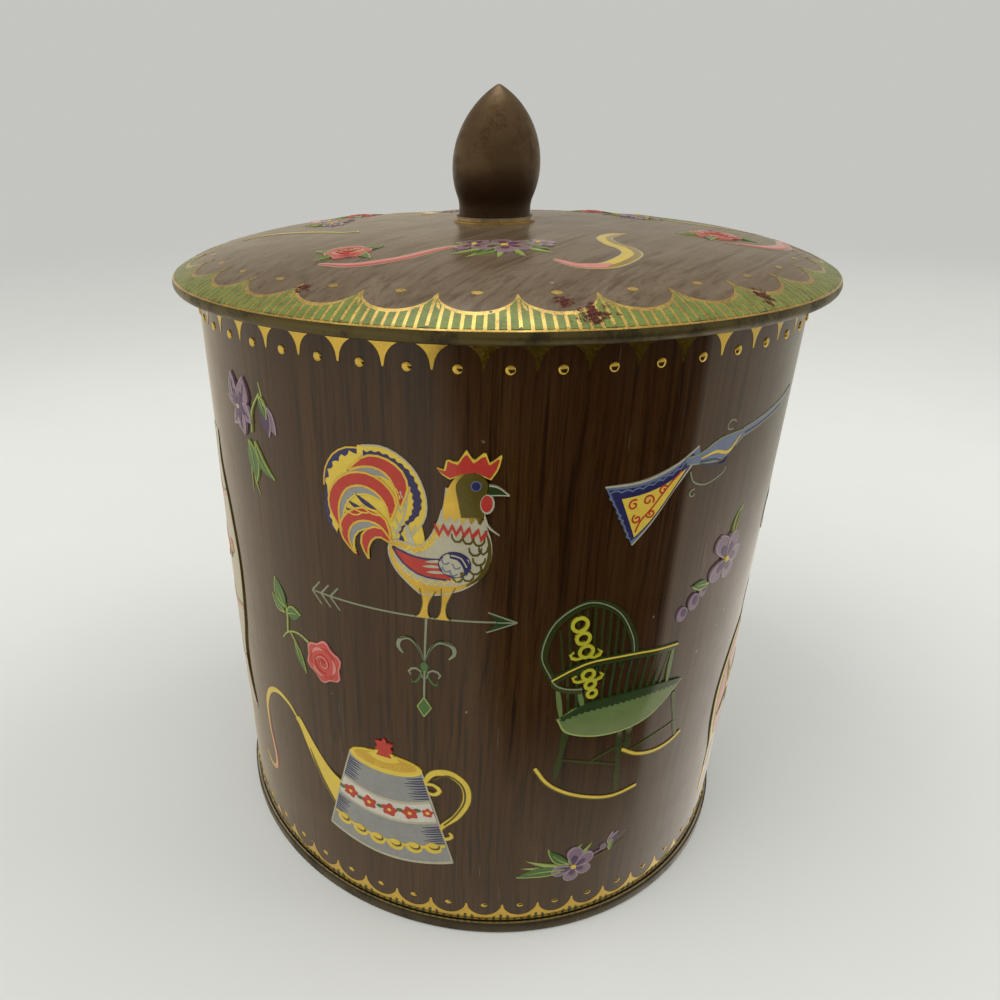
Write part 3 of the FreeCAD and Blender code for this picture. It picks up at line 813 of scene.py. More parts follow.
@once
def Rim_lacquer(name):
    """The lid's rolled rim, with the rust that creeps round it from the border."""
    material, nodes, shader, place = new_finish(name)
    tone = colours()
    skin = nodes.group(Metal_skin(), Vector=place, Metal=tone.rim, Stain=(0.016, 0.010, 0.003), Age=0.8)
    rust = rust_on_lid(nodes, place)
    nodes.fill(shader, Base_Color=nodes.mix(rust["Mask"], skin["Color"], rust["Color"]),
               Roughness=nodes.plus(skin["Rough"], nodes.plus(0.12, nodes.times(rust["Mask"], 0.4))),
               Metallic=nodes.times(nodes.minus(1.0, rust["Mask"]), 0.6), Coat_Weight=0.35,
               Coat_Roughness=0.22)
    bump(nodes, shader, nodes.plus(skin["Lines"], nodes.times(rust["Height"], 0.5)), 0.25, 0.0001)
    return material


def knob_finish(name, metal, stain, age, shine, foot_shade=0.0):
    """Worn solid metal. Its last argument sets how dark the painted shade is towards the knob's foot,
    standing in for the dark lid mirrored there.
    """
    material, nodes, shader, place = new_finish(name)
    skin = nodes.group(Metal_skin(), Vector=place, Metal=metal, Stain=stain, Age=age)
    wear = nodes.group(Print_wear(), Vector=nodes.stretch(place, (2.2, 2.2, 2.2)), Amount=1.0)
    base = nodes.mix(nodes.times(wear["Scratch"], 0.5), skin["Color"], (0.45, 0.33, 0.18))
    height = nodes.node("ShaderNodeSeparateXYZ", Vector=place).outputs[2]
    # Painted shade: the colour darkens towards the knob's foot, standing in for the dark lid mirrored there.
    painted_foot_shade = nodes.times(nodes.ramp(height, KNOB_TOP - 9, KNOB_TOP - 23), foot_shade)
    base = nodes.mix(painted_foot_shade, base, (0.030, 0.012, 0.004))
    nodes.fill(shader, Base_Color=base, Roughness=nodes.plus(skin["Rough"], shine),
               Metallic=nodes.minus(1.0, nodes.times(wear["Smudge"], 0.2)), Coat_Weight=0.25,
               Coat_Roughness=0.3)
    bump(nodes, shader, nodes.plus(nodes.times(skin["Lines"], 0.5), wear["Smudge"]), 0.25, 0.0002)
    return material


@once
def Knob_bronze(name):
    return knob_finish(name, colours().bronze, (0.080, 0.042, 0.016), 0.7, 0.10, 0.85)


@once
def Ring_brass(name):
    return knob_finish(name, colours().brass, (0.10, 0.055, 0.02), 0.5, 0.06)


@once
def Rivet_brass(name):
    return knob_finish(name, (0.50, 0.36, 0.16), (0.20, 0.13, 0.06), 0.5, 0.08)


@once
def Solder_grey(name):
    return knob_finish(name, (0.34, 0.34, 0.33), (0.16, 0.15, 0.14), 0.6, 0.2)


def ink_finish(tone, metallic, mottle, shine, on_the_lid=False):
    """A printing ink under varnish. Metallic inks keep a fine sparkle in their roughness."""
    name = tone.capitalize() + ("_lid" if on_the_lid else "") + "_ink"

    def build():
        if name in bpy.data.materials:
            return bpy.data.materials[name]
        material, nodes, shader, place = new_finish(name)
        ink = nodes.group(Ink_tone(), Vector=place, Ink=getattr(colours(), tone),
                          Ground=colours().wood_mid, Mottle=mottle)
        wear = nodes.group(Print_wear(), Vector=place, Amount=1.0)
        base = nodes.mix(nodes.times(wear["Scratch"], 0.4), ink["Color"], (0.30, 0.26, 0.2))
        rough = nodes.plus(nodes.times(ink["Grain"], 0.24), shine)
        if on_the_lid:
            rust = rust_on_lid(nodes, place)
            base = nodes.mix(rust["Mask"], base, rust["Color"])
            rough = nodes.plus(rough, nodes.times(rust["Mask"], 0.5))
            clean = nodes.minus(1.0, rust["Mask"])
            nodes.fill(shader, Metallic=nodes.times(clean, metallic), Coat_Weight=nodes.times(clean, 0.6))
        else:
            nodes.fill(shader, Metallic=metallic, Coat_Weight=0.8)
        nodes.fill(shader, Base_Color=base, Roughness=rough, Specular_IOR_Level=0.2, Coat_Roughness=0.09)
        bump(nodes, shader, nodes.plus(wear["Dent"], nodes.times(ink["Grain"], 0.03)),
             0.35, 0.0009)
        return material
    return build


# What each face's mark stands for
FINISHES = {
    "wall_wood": Wall_wood, "lid_wood": Lid_wood, "bare_tin": Bare_tin, "seam": Seam_lacquer,
    "rim": Rim_lacquer, "bronze": Knob_bronze, "brass": Ring_brass,
    "gold": ink_finish("gold", 1.0, 0.45, 0.05), "gold_lid": ink_finish("pale_gold", 1.0, 1.3, 0.18, True),
    "yellow": ink_finish("yellow", 0.0, 0.3, 0.2), "moss": ink_finish("moss", 0.6, 0.4, 0.12),
    "green_lid": ink_finish("lid_green", 0.15, 1.1, 0.26, True),
}
for plain in ("red", "rose", "pink", "navy", "blue", "grey", "cream", "white", "olive", "green",
              "leaf", "bottle", "lime", "lilac", "violet", "sage", "mauve", "lemon", "plum", "rosy"):
    FINISHES[plain] = ink_finish(plain, 0.25 if plain in ("olive", "grey") else 0.0, 0.35, 0.2)


# ---------------------------------------------------------------- metal pieces

def turned_piece(name, body, slot, node, outline, finishes, radius_shift=None, bearings=None):
    """Carries an outline once round the axis and puts it in a CAD node's place."""
    shell = Shell()
    shell.lathe(outline, finishes, radius_shift, bearings)
    return shell.piece(name, body, slot, [node])


def make_body_wall():
    """The wall: a straight sheet whose mouth rolls inwards round a circle and whose foot
    folds out into the seam. Inside at the back runs the lock seam, a strip twice as thick."""
    low, fold, curl = 0.6, 0.2, 1.0               # foot's height, bends of its fold, mouth's roll
    line = path_of((WALL_RADIUS + 0.62, low + 1.6), (WALL_RADIUS + 0.62, low + fold),
                   arc((WALL_RADIUS + 0.42, low + fold), fold, 0, -90, 5),
                   arc((WALL_RADIUS + fold, low + fold), fold, -90, -180, 5),
                   side_by_side(np.full(40, WALL_RADIUS), np.linspace(low + 0.6, WALL_TOP - curl, 40)),
                   arc((WALL_RADIUS - curl, WALL_TOP - curl), curl, 0, 180, 22))
    outline, names = sheet_outline(line[::-1], SHEET, "wall_wood", "bare_tin", "bare_tin")

    def lock_seam(angle, radius, height):
        """Inside, 2.5 mm each way from the back, the sheet steps in by one sheet and the
        lap shows outside as a shallow groove."""
        arc_from_back = (angle - np.pi) * WALL_RADIUS
        straight = (height > 5.1) & (height < WALL_TOP - 3)
        inner = straight & (np.abs(radius - (WALL_RADIUS - SHEET)) < 0.05)
        outer = straight & (np.abs(radius - WALL_RADIUS) < 0.05)
        strip = np.clip((2.6 - np.abs(arc_from_back)) / 0.2, 0, 1)
        groove = np.exp(-((arc_from_back - 2.4) / 0.25) ** 2)
        return -0.6 * strip * inner - 0.12 * groove * outer
    fine = np.pi + np.linspace(-3.4, 3.4, 52) / WALL_RADIUS
    around = np.linspace(0, 2 * np.pi, SIDES, endpoint=False)
    bearings = np.sort(np.r_[around[np.abs(around - np.pi) > 3.6 / WALL_RADIUS], fine])
    return turned_piece("Body_wall", "tin", "litho_body", "body_wall", outline, names, lock_seam, bearings)


def make_bottom_end():
    """The bottom: a double seam outside the wall's foot and a panel set 3.8 mm up inside it."""
    high = node_mm("bottom_end")[1][2]
    panel = high - SHEET
    inside = SEAM_RADIUS - 1.7
    bead = np.linspace(0, 1, 9)
    ring = side_by_side(57.5 - 5 * bead, panel - 0.35 * np.sin(np.pi * bead) ** 2)
    under = path_of(arc((SEAM_RADIUS - 0.35, SEAM_TOP - 0.35), 0.35, 90, 0, 6),
                    arc((SEAM_RADIUS - 0.5, 0.5), 0.5, 0, -90, 7),
                    arc((inside + 0.5, 0.5), 0.5, -90, -180, 7),
                    arc((inside - 1.2, panel - 1.2), 1.2, 0, 90, 9), ring,
                    side_by_side(np.linspace(50, 0, 14), np.full(14, panel)))
    over = path_of(side_by_side(np.linspace(0, 50, 14), np.full(14, high)),
                   ring[::-1] + (0, SHEET), arc((inside - 1.2, panel - 1.2), 1.5, 90, 0, 9),
                   (inside + SHEET, 0.7), (WALL_RADIUS + 0.3, 0.7), (WALL_RADIUS + 0.3, SEAM_TOP))
    outline = np.concatenate([under, over])
    lacquered = 22                                # edges of the seam's outside, from its top inwards
    names = ["seam"] * lacquered + ["bare_tin"] * (len(outline) - lacquered)
    return turned_piece("Bottom_end", "tin", "base_metal", "bottom_end", outline, names)


def lid_line():
    """The lid's upper face from the rivet hole to the end of the rolled rim."""
    radius = np.r_[2.1, 5, SEAT_EDGE, np.linspace(12, 48, 16), np.linspace(49.4, BROW_END - 0.3, 42)]
    top = side_by_side(radius, lid_height(radius)[0])
    roll = RIM_ROLL - 0.02
    turn = np.radians(np.linspace(30, 300, 48))
    rim = side_by_side(RIM_CENTRE + roll * np.sin(turn), RIM_LEVEL + roll * np.cos(turn))
    return path_of(top, rim)


def make_lid_cover():
    """The domed lid: a flat seat and three arcs of ever tighter bend, then a rim rolled under."""
    line = lid_line()
    outline, names = sheet_outline(line, SHEET, "lid_wood", "bare_tin", "bare_tin")
    count = len(line) - 1
    names[:count] = ["lid_wood" if radius < BROW_END and height > RIM_LEVEL else "rim"
                     for radius, height in line[:-1]]
    return turned_piece("Lid_cover", "lid", "litho_lid", "lid_cover", outline, names)


def make_lid_collar():
    """The collar that drops into the mouth: a straight band with a hem folded inwards at
    its foot and a flange bent out under the lid's brow."""
    outer = 65.6                                  # outside radius of the band
    bend = BROW_BEND - 2 * SHEET - 0.05
    out = np.linspace(outer + 0.7, 68.6, 8)
    flange = side_by_side(out, BROW_LEVEL + np.sqrt(bend ** 2 - (out - BROW_CENTRE) ** 2))
    corner = flange[0]
    line = path_of((outer - 0.7, COLLAR_FOOT + 2.0), (outer - 0.7, COLLAR_FOOT + 0.35),
                   arc((outer - 0.35, COLLAR_FOOT + 0.35), 0.35, 180, 360, 9),
                   side_by_side(np.full(12, outer), np.linspace(COLLAR_FOOT + 0.6, corner[1] - 0.75, 12)),
                   (outer + 0.08, corner[1] - 0.4), (outer + 0.3, corner[1] - 0.15), flange)
    outline, names = sheet_outline(line[::-1], -SHEET, "bare_tin", "bare_tin", "bare_tin")
    return turned_piece("Lid_collar", "lid", "bare_tin", "lid_collar", outline, names)


def make_knob_shell():
    """The acorn knob: a lip, a short neck, a hollow that swells into the belly, and a
    flank that closes in a small round tip. Each part is an arc that meets the next
    with one slope."""
    base, neck, slope = SEAT_LEVEL, 8.075, 22
    lip, hollow, belly, flank, tip = 0.6, 7, 16, 18.5, 1.0
    widest, height = 9.75, base + 11.416
    line = path_of(arc((neck + lip, base + 1.9), lip, 270, 180, 8), (neck, base + 2.35), (neck, base + 2.8),
                   arc((neck + hollow, base + 2.8), hollow, 180, 180 - slope, 10),
                   arc((widest - belly, height), belly, -slope, 0, 12),
                   arc((widest - flank, height), flank, 0, 60, 34),
                   arc((0, KNOB_TOP - tip), tip, 60, 90, 8))
    outline, names = sheet_outline(line, -SHEET, "bronze", "bare_tin", "bare_tin")
    outline[:, 0] = np.maximum(outline[:, 0], 0)
    return turned_piece("Knob_shell", "lid", "knob_bronze", "knob_shell", outline, names)


def make_knob_ring():
    """The brass ring under the knob: a foot, a step and a rounded upper edge."""
    base = SEAT_LEVEL
    outline = path_of((7.2, base), (9.275, base), arc((9.125, base + 0.25), 0.15, 0, 90, 5),
                      arc((8.675, base + 0.6), 0.2, 270, 180, 5), (8.475, base + 1.1),
                      arc((8.275, base + 1.1), 0.2, 0, 90, 5), (7.2, base + 1.3))
    return turned_piece("Knob_ring", "lid", "knob_ring", "knob_base", outline, ["brass"] * len(outline))


def dress_cad_pieces():
    """Gives the CAD washers, the rivet and the solder beads their finishes."""
    for name, finish in (("clamp_washer", Bare_tin), ("rivet_washer", Bare_tin),
                         ("knob_rivet", Rivet_brass), ("collar_solder", Solder_grey)):
        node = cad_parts[name]
        node.data.materials.clear()
        node.data.materials.append(finish())


# ---------------------------------------------------------------- borders

def near_lobe(angle, lobes, first):
    """How far a bearing is from the middle of its lobe, from -1 to 1 at the cusps."""
    turn = (angle - math.radians(first)) * lobes / (2 * np.pi)
    return 2 * (turn - np.round(turn))


def steady(level):
    """The same level at every bearing."""
    return lambda angle: np.full(angle.shape, level)


def ring_band(low, high, across, samples):
    """Bearings and levels of a closed band round the tin between low(angle) and
    high(angle): level = (1 - v) low + v high."""
    angle = np.linspace(0, 2 * np.pi, samples, endpoint=False)[:, None]
    v = np.linspace(0, 1, across)[None, :]
    reach = low(angle) * (1 - v) + high(angle) * v
    return np.broadcast_to(angle, reach.shape), reach


WALL_FIRST, LID_FIRST = 2.9, -2.0                 # bearing in degrees of one lobe's middle


def make_wall_borders():
    """Gold borders on the wall. The upper one's lower edge is a row of round arches,
    z = z0 + sqrt(r^2 - a^2); the lower one's upper edge is a row of hanging scallops with
    sharp cusps, over a strip of short green bars. A boss stands in each arch and scallop."""
    lobes = sizes().wall_lobes
    pitch = 2 * np.pi * WALL_RADIUS / lobes
    arch = pitch / 2 - 0.29                       # radius of an arch; the rest is gold between two
    spring = WALL_TOP - 8.8                       # height that the arches spring from
    hollow, rise = 5.1, 4.4                       # a scallop's lowest point, and its cusps above that
    drawing = Drawing(on_wall)

    def arches(angle):
        away = near_lobe(angle, lobes, WALL_FIRST) * pitch / 2
        return spring + np.sqrt(np.clip(arch ** 2 - away ** 2, 0, None)) - 0.5 * (np.abs(away) > arch)

    def scallops(angle):
        away = np.abs(near_lobe(angle, lobes, WALL_FIRST))
        curve = hollow + rise * (1 - np.sqrt(np.clip(1 - away ** 2, 0, 1)))
        return curve + 1.1 * np.clip((away - 0.93) / 0.07, 0, 1)
    samples = lobes * 28
    angle, up = ring_band(arches, steady(WALL_TOP - 2.6), 3, samples)
    drawing.patch(angle * WALL_RADIUS, up, "gold", 1, around=True)
    angle, up = ring_band(steady(SEAM_TOP - 0.3), scallops, 4, samples)
    drawing.patch(angle * WALL_RADIUS, up, "gold", 1, around=True)
    boss = sizes().boss_radius / MM
    bars = 5
    for lobe in range(lobes):
        middle = math.radians(WALL_FIRST) * WALL_RADIUS + lobe * pitch
        drawing.disc(middle, spring - 0.2, boss, boss, "gold", 1, dome=0.3, steps=12)
        drawing.disc(middle, 8.5, 0.8, 0.62, "gold", 1, dome=0.15, steps=9)
        for bar in range(bars):
            left = middle + (bar + 0.18) * pitch / bars
            right = left + 0.42 * pitch / bars
            edges = np.array([left, right])
            top = np.clip(scallops(edges / WALL_RADIUS) - 1.3, SEAM_TOP + 0.7, hollow + 0.1)
            drawing.patch(np.broadcast_to(edges, (2, 2)), np.stack([np.full(2, SEAM_TOP + 0.15), top]),
                          "moss", 2)
    return drawing.piece("Wall_borders", "tin", "litho_body")


def make_lid_border():
    """The lid's border: a gold band whose inner edge is a row of wide lobes with thin
    hooked cusps, filled with green bars, and a dot inside each lobe."""
    lobes = sizes().lid_lobes
    drawing = Drawing(round_lid)
    step = 2 * np.pi / lobes
    edge, bar_end = 72.72, 72.4                   # outer ends of the band and of its bars
    lobe_edge, depth = 68.9, 5.4                  # radius at a lobe's middle, and how far its cusps go in

    def inner(angle, inset=0):
        away = np.abs(near_lobe(angle, lobes, LID_FIRST))
        curve = lobe_edge - depth * (1 - np.sqrt(np.clip(1 - away ** 2, 0, 1)))
        return curve - 1.3 * np.clip((away - 0.95) / 0.05, 0, 1) + inset
    samples = lobes * 36
    angle, reach = ring_band(inner, steady(edge), 8, samples)
    drawing.patch(angle, reach, "gold_lid", 1, around=True)
    bars = 8
    for lobe in range(lobes):
        middle = math.radians(LID_FIRST) + lobe * step
        drawing.patch(*ring_dot(middle, 63.6, 0.95, 0.62), "gold_lid", 1)
        for bar in range(bars):
            left = middle + (bar + 0.16) * step / bars
            edges = np.array([left, left + 0.68 * step / bars])
            inside = np.minimum(inner(edges, 0.8), bar_end - 1.8)
            v = np.array([0, 0.35, 0.6, 0.8, 1])[:, None]
            drawing.patch(np.broadcast_to(edges, (5, 2)), inside * (1 - v) + bar_end * v, "green_lid", 1.6)
    return drawing.piece("Lid_border", "lid", "litho_lid")


def ring_dot(angle, radius, wide, high):
    """A small round patch on the lid, as a grid of bearings and radii."""
    turn = np.linspace(0, np.pi, 7)
    half = np.sin(turn)[:, None] * np.linspace(-1, 1, 4)[None, :]
    return angle + wide * half / radius, radius + high * np.broadcast_to(-np.cos(turn)[:, None], half.shape)


# ---------------------------------------------------------------- pictures

def draw_violet(d, x, y, size, turn, petal="lilac", throat="violet"):
    """A five-petalled violet: lilac petals with dark throats and a yellow eye."""
    for number, (angle, length, width) in enumerate(
            ((95, 6.2, 4), (40, 5.8, 3.6), (-22, 5.2, 3.4), (-90, 5, 3.8), (-160, 5.6, 3.6))):
        way = math.radians(angle + turn)
        out, side = np.array([math.cos(way), math.sin(way)]), np.array([-math.sin(way), math.cos(way)])
        part = np.array([0.06, 0.35, 0.68, 0.92, 1])[:, None] * length * size
        half = np.array([0.12, 0.66, 1, 0.62, 0.05])[:, None] * width * size / 2
        spine = np.array([x, y]) + out * part
        layer = 2 + (number % 2) * 0.9
        d.blade(spine + side * half, spine - side * half, petal, layer, edge="mauve", edge_width=0.22)
        inner = np.array([x, y]) + out * part * 0.62
        d.blade(inner + side * half * 0.45, inner - side * half * 0.45, throat, layer + 0.7)
    d.disc(x, y, 0.75 * size, 0.65 * size, "yellow", 5, dome=0.15, steps=8)


def draw_bud(d, base, tip, width):
    """A closed lilac bud with two petals and a green cup."""
    base, tip = np.asarray(base, float), np.asarray(tip, float)
    side = np.array([-(tip - base)[1], (tip - base)[0]])
    side = side / np.hypot(*side) * width
    middle = (base + tip) / 2
    d.leaf(base - side * 0.1, tip + side * 0.35, width, "lilac", 2, edge="mauve", vein=None)
    d.leaf(base + side * 0.1, tip - side * 0.35, width * 0.9, "violet", 2.8, edge="mauve", vein=None)
    d.leaf(base - (tip - base) * 0.2, middle, width * 0.6, "leaf", 3.8)


def draw_rose(d, x, y, size, turn):
    """A rose: a lobed bloom with curled petals drawn in light and dark strokes."""
    petals = 6
    d.disc(x, y, 4.7 * size, 5.2 * size, "pink", 1, petals, 0.10, turn, steps=22)
    d.disc(x, y, 4.3 * size, 4.8 * size, "rose", 2, petals, 0.10, turn, steps=22)
    for number in range(petals):
        start = math.radians(turn * 57 + number * 60)
        reach = (3.5 - 0.25 * (number % 2)) * size
        bend = np.linspace(start, start + 1.25, 6)
        rim = ring_of(x, y, reach, 1.1 * reach, bend)
        d.stroke(rim, np.array([0.1, 0.55, 0.8, 0.7, 0.45, 0.1]) * size, "pink" if number % 2 else "red", 3)
    spiral = np.linspace(0, 3.6 * np.pi, 30)
    reach = (0.25 + spiral * 0.2) * size
    d.stroke(ring_of(x, y, reach, 1.1 * reach, spiral), 0.42 * size, "red", 4, exact=True)
    d.stroke(ring_of(x + 0.2, y, reach, 1.1 * reach, spiral + 1.1)[4:22], 0.26 * size, "pink", 4.6,
             exact=True)


def draw_rose_spray(d):
    """A rose with a bent stem and four leaves."""
    d.bulges = ((0, 0, 7, 7.5, 1), (-11, 6, 6, 9, 0.5))
    d.stroke([(-4, 3.4), (-7.5, 4.3), (-10.5, 3.2), (-12.8, 0.6)], (0.45, 0.4, 0.4, 0.2), "lime", 1)
    d.stroke([(-10.6, 3.3), (-10.2, 7.5), (-10.6, 10.5)], 0.4, "lime", 1)
    d.stroke([(-9.6, 3.4), (-8, 1), (-6.6, -2.2)], 0.38, "lime", 1)
    d.leaf((-10.6, 9.6), (-13.6, 16), 3.4, "leaf", 2, 0.4)
    d.leaf((-10.8, 8.2), (-15, 11.4), 2.6, "leaf", 2, 0.3)
    d.leaf((-10.2, 8.2), (-5.9, 9.4), 3.2, "leaf", 2, 0.3)
    d.leaf((-8.4, 1.6), (-5.6, -5.6), 2, "leaf", 2, -0.4)
    draw_rose(d, 0, 0, 0.98, 0.4)


def draw_violet_sprig(d):
    """A large violet beside a bud on thin stems, over two leaves."""
    d.bulges = ((-1, 2, 9, 9, 1), (2, -9, 7, 8, 0.5))
    d.stroke([(2, -2.5), (2.9, 2.2), (5.6, 6.2)], 0.36, "lime", 1)
    d.stroke([(0.4, -5), (1.2, -12.5), (2.4, -16)], (0.4, 0.35, 0.15), "lime", 1)
    d.stroke([(0.2, -10), (-0.2, -15.8)], (0.3, 0.12), "lime", 1)
    d.leaf((0.2, -4.5), (2, -13), 3.8, "leaf", 2, 0.4)
    d.leaf((2.6, -4.2), (8.2, -11), 2.4, "leaf", 2, -1.5)
    for tip, width, bend in (((-4.4, 8.6), 3.6, 0.9), ((0.4, 8.4), 4.2, -0.9), ((-6.8, 3.2), 2.6, -0.8),
                             ((-5, -2.2), 2.8, 0.5), ((2.4, -0.6), 3.8, 0.6), ((-0.8, -3.8), 3.8, -0.3)):
        d.leaf((-2, 2), tip, width, "lilac", 2 + 0.4 * (width > 3.5), bend, edge="mauve", vein="violet")
        inner = (-2.0 + 0.5 * (tip[0] + 2), 2.0 + 0.5 * (tip[1] - 2))
        d.leaf((-2, 2), inner, width * 0.45, "violet", 3.6, bend * 0.5, edge=None, vein=None)
    d.disc(-2, 2, 0.6, 0.5, "cream", 4.4, steps=8)
    draw_bud(d, (6.2, 4.6), (8.8, -1.6), 3.2)
    d.stroke([(5.6, 8.4), (6.4, 5.8)], (0.2, 0.4), "lime", 1)


def draw_violet_trail(d):
    """A violet that leads a trail of small buds down to the left."""
    d.bulges = ((1, 1, 8, 8, 1), (-7, -6, 5, 5, 0.6))
    d.leaf((2, 4.5), (4.2, 10.2), 2.2, "olive", 1, 0.2)
    d.stroke([(-1, -2), (-5.5, -4.2), (-9.5, -7.8)], 0.4, "leaf", 1)
    draw_violet(d, 0.6, 0.6, 0.92, 25)
    for x, y, size in ((-4.8, -4, 1.5), (-7, -5.8, 1.8), (-9.6, -7.6, 1.6)):
        d.disc(x, y, size * 0.8, size, "lilac", 2, steps=9)
        d.disc(x + 0.3, y + 0.3, size * 0.4, size * 0.55, "violet", 3, steps=7)
    d.leaf((-3.6, -3), (-8, -2.4), 1.8, "leaf", 3)


def draw_violet_bunch(d):
    """A violet with grassy leaves on its left and buds on its right."""
    d.bulges = ((0, 0, 9, 7, 1),)
    for tip, bend in (((-10.5, 3.2), 0.5), ((-11.4, 1), 0.3), ((-6, 6.4), 0.6), ((1.6, 6), 0.2),
                      ((4, 5.6), -0.4)):
        d.leaf((-1.5, 0.6), tip, 0.9, "lime", 1, bend, edge=None, vein=None)
    d.leaf((-2, -0.4), (-12.2, -1.6), 2.8, "leaf", 1.6, -0.6)
    d.leaf((-1, 1), (-5.8, 5.6), 2, "leaf", 1.6, 0.4)
    d.stroke([(3, 1.6), (8.4, 3.2), (12.6, 5.8)], (0.4, 0.35, 0.15), "lilac", 1)
    d.stroke([(3, 0.8), (8.6, 1.8), (12.4, 3.4)], (0.35, 0.3, 0.12), "olive", 1)
    d.disc(6.9, 3.3, 0.9, 0.95, "lilac", 2, steps=8)
    draw_bud(d, (8.6, 2.6), (9.6, 6.6), 2)
    draw_violet(d, 0, 0, 0.86, -8)


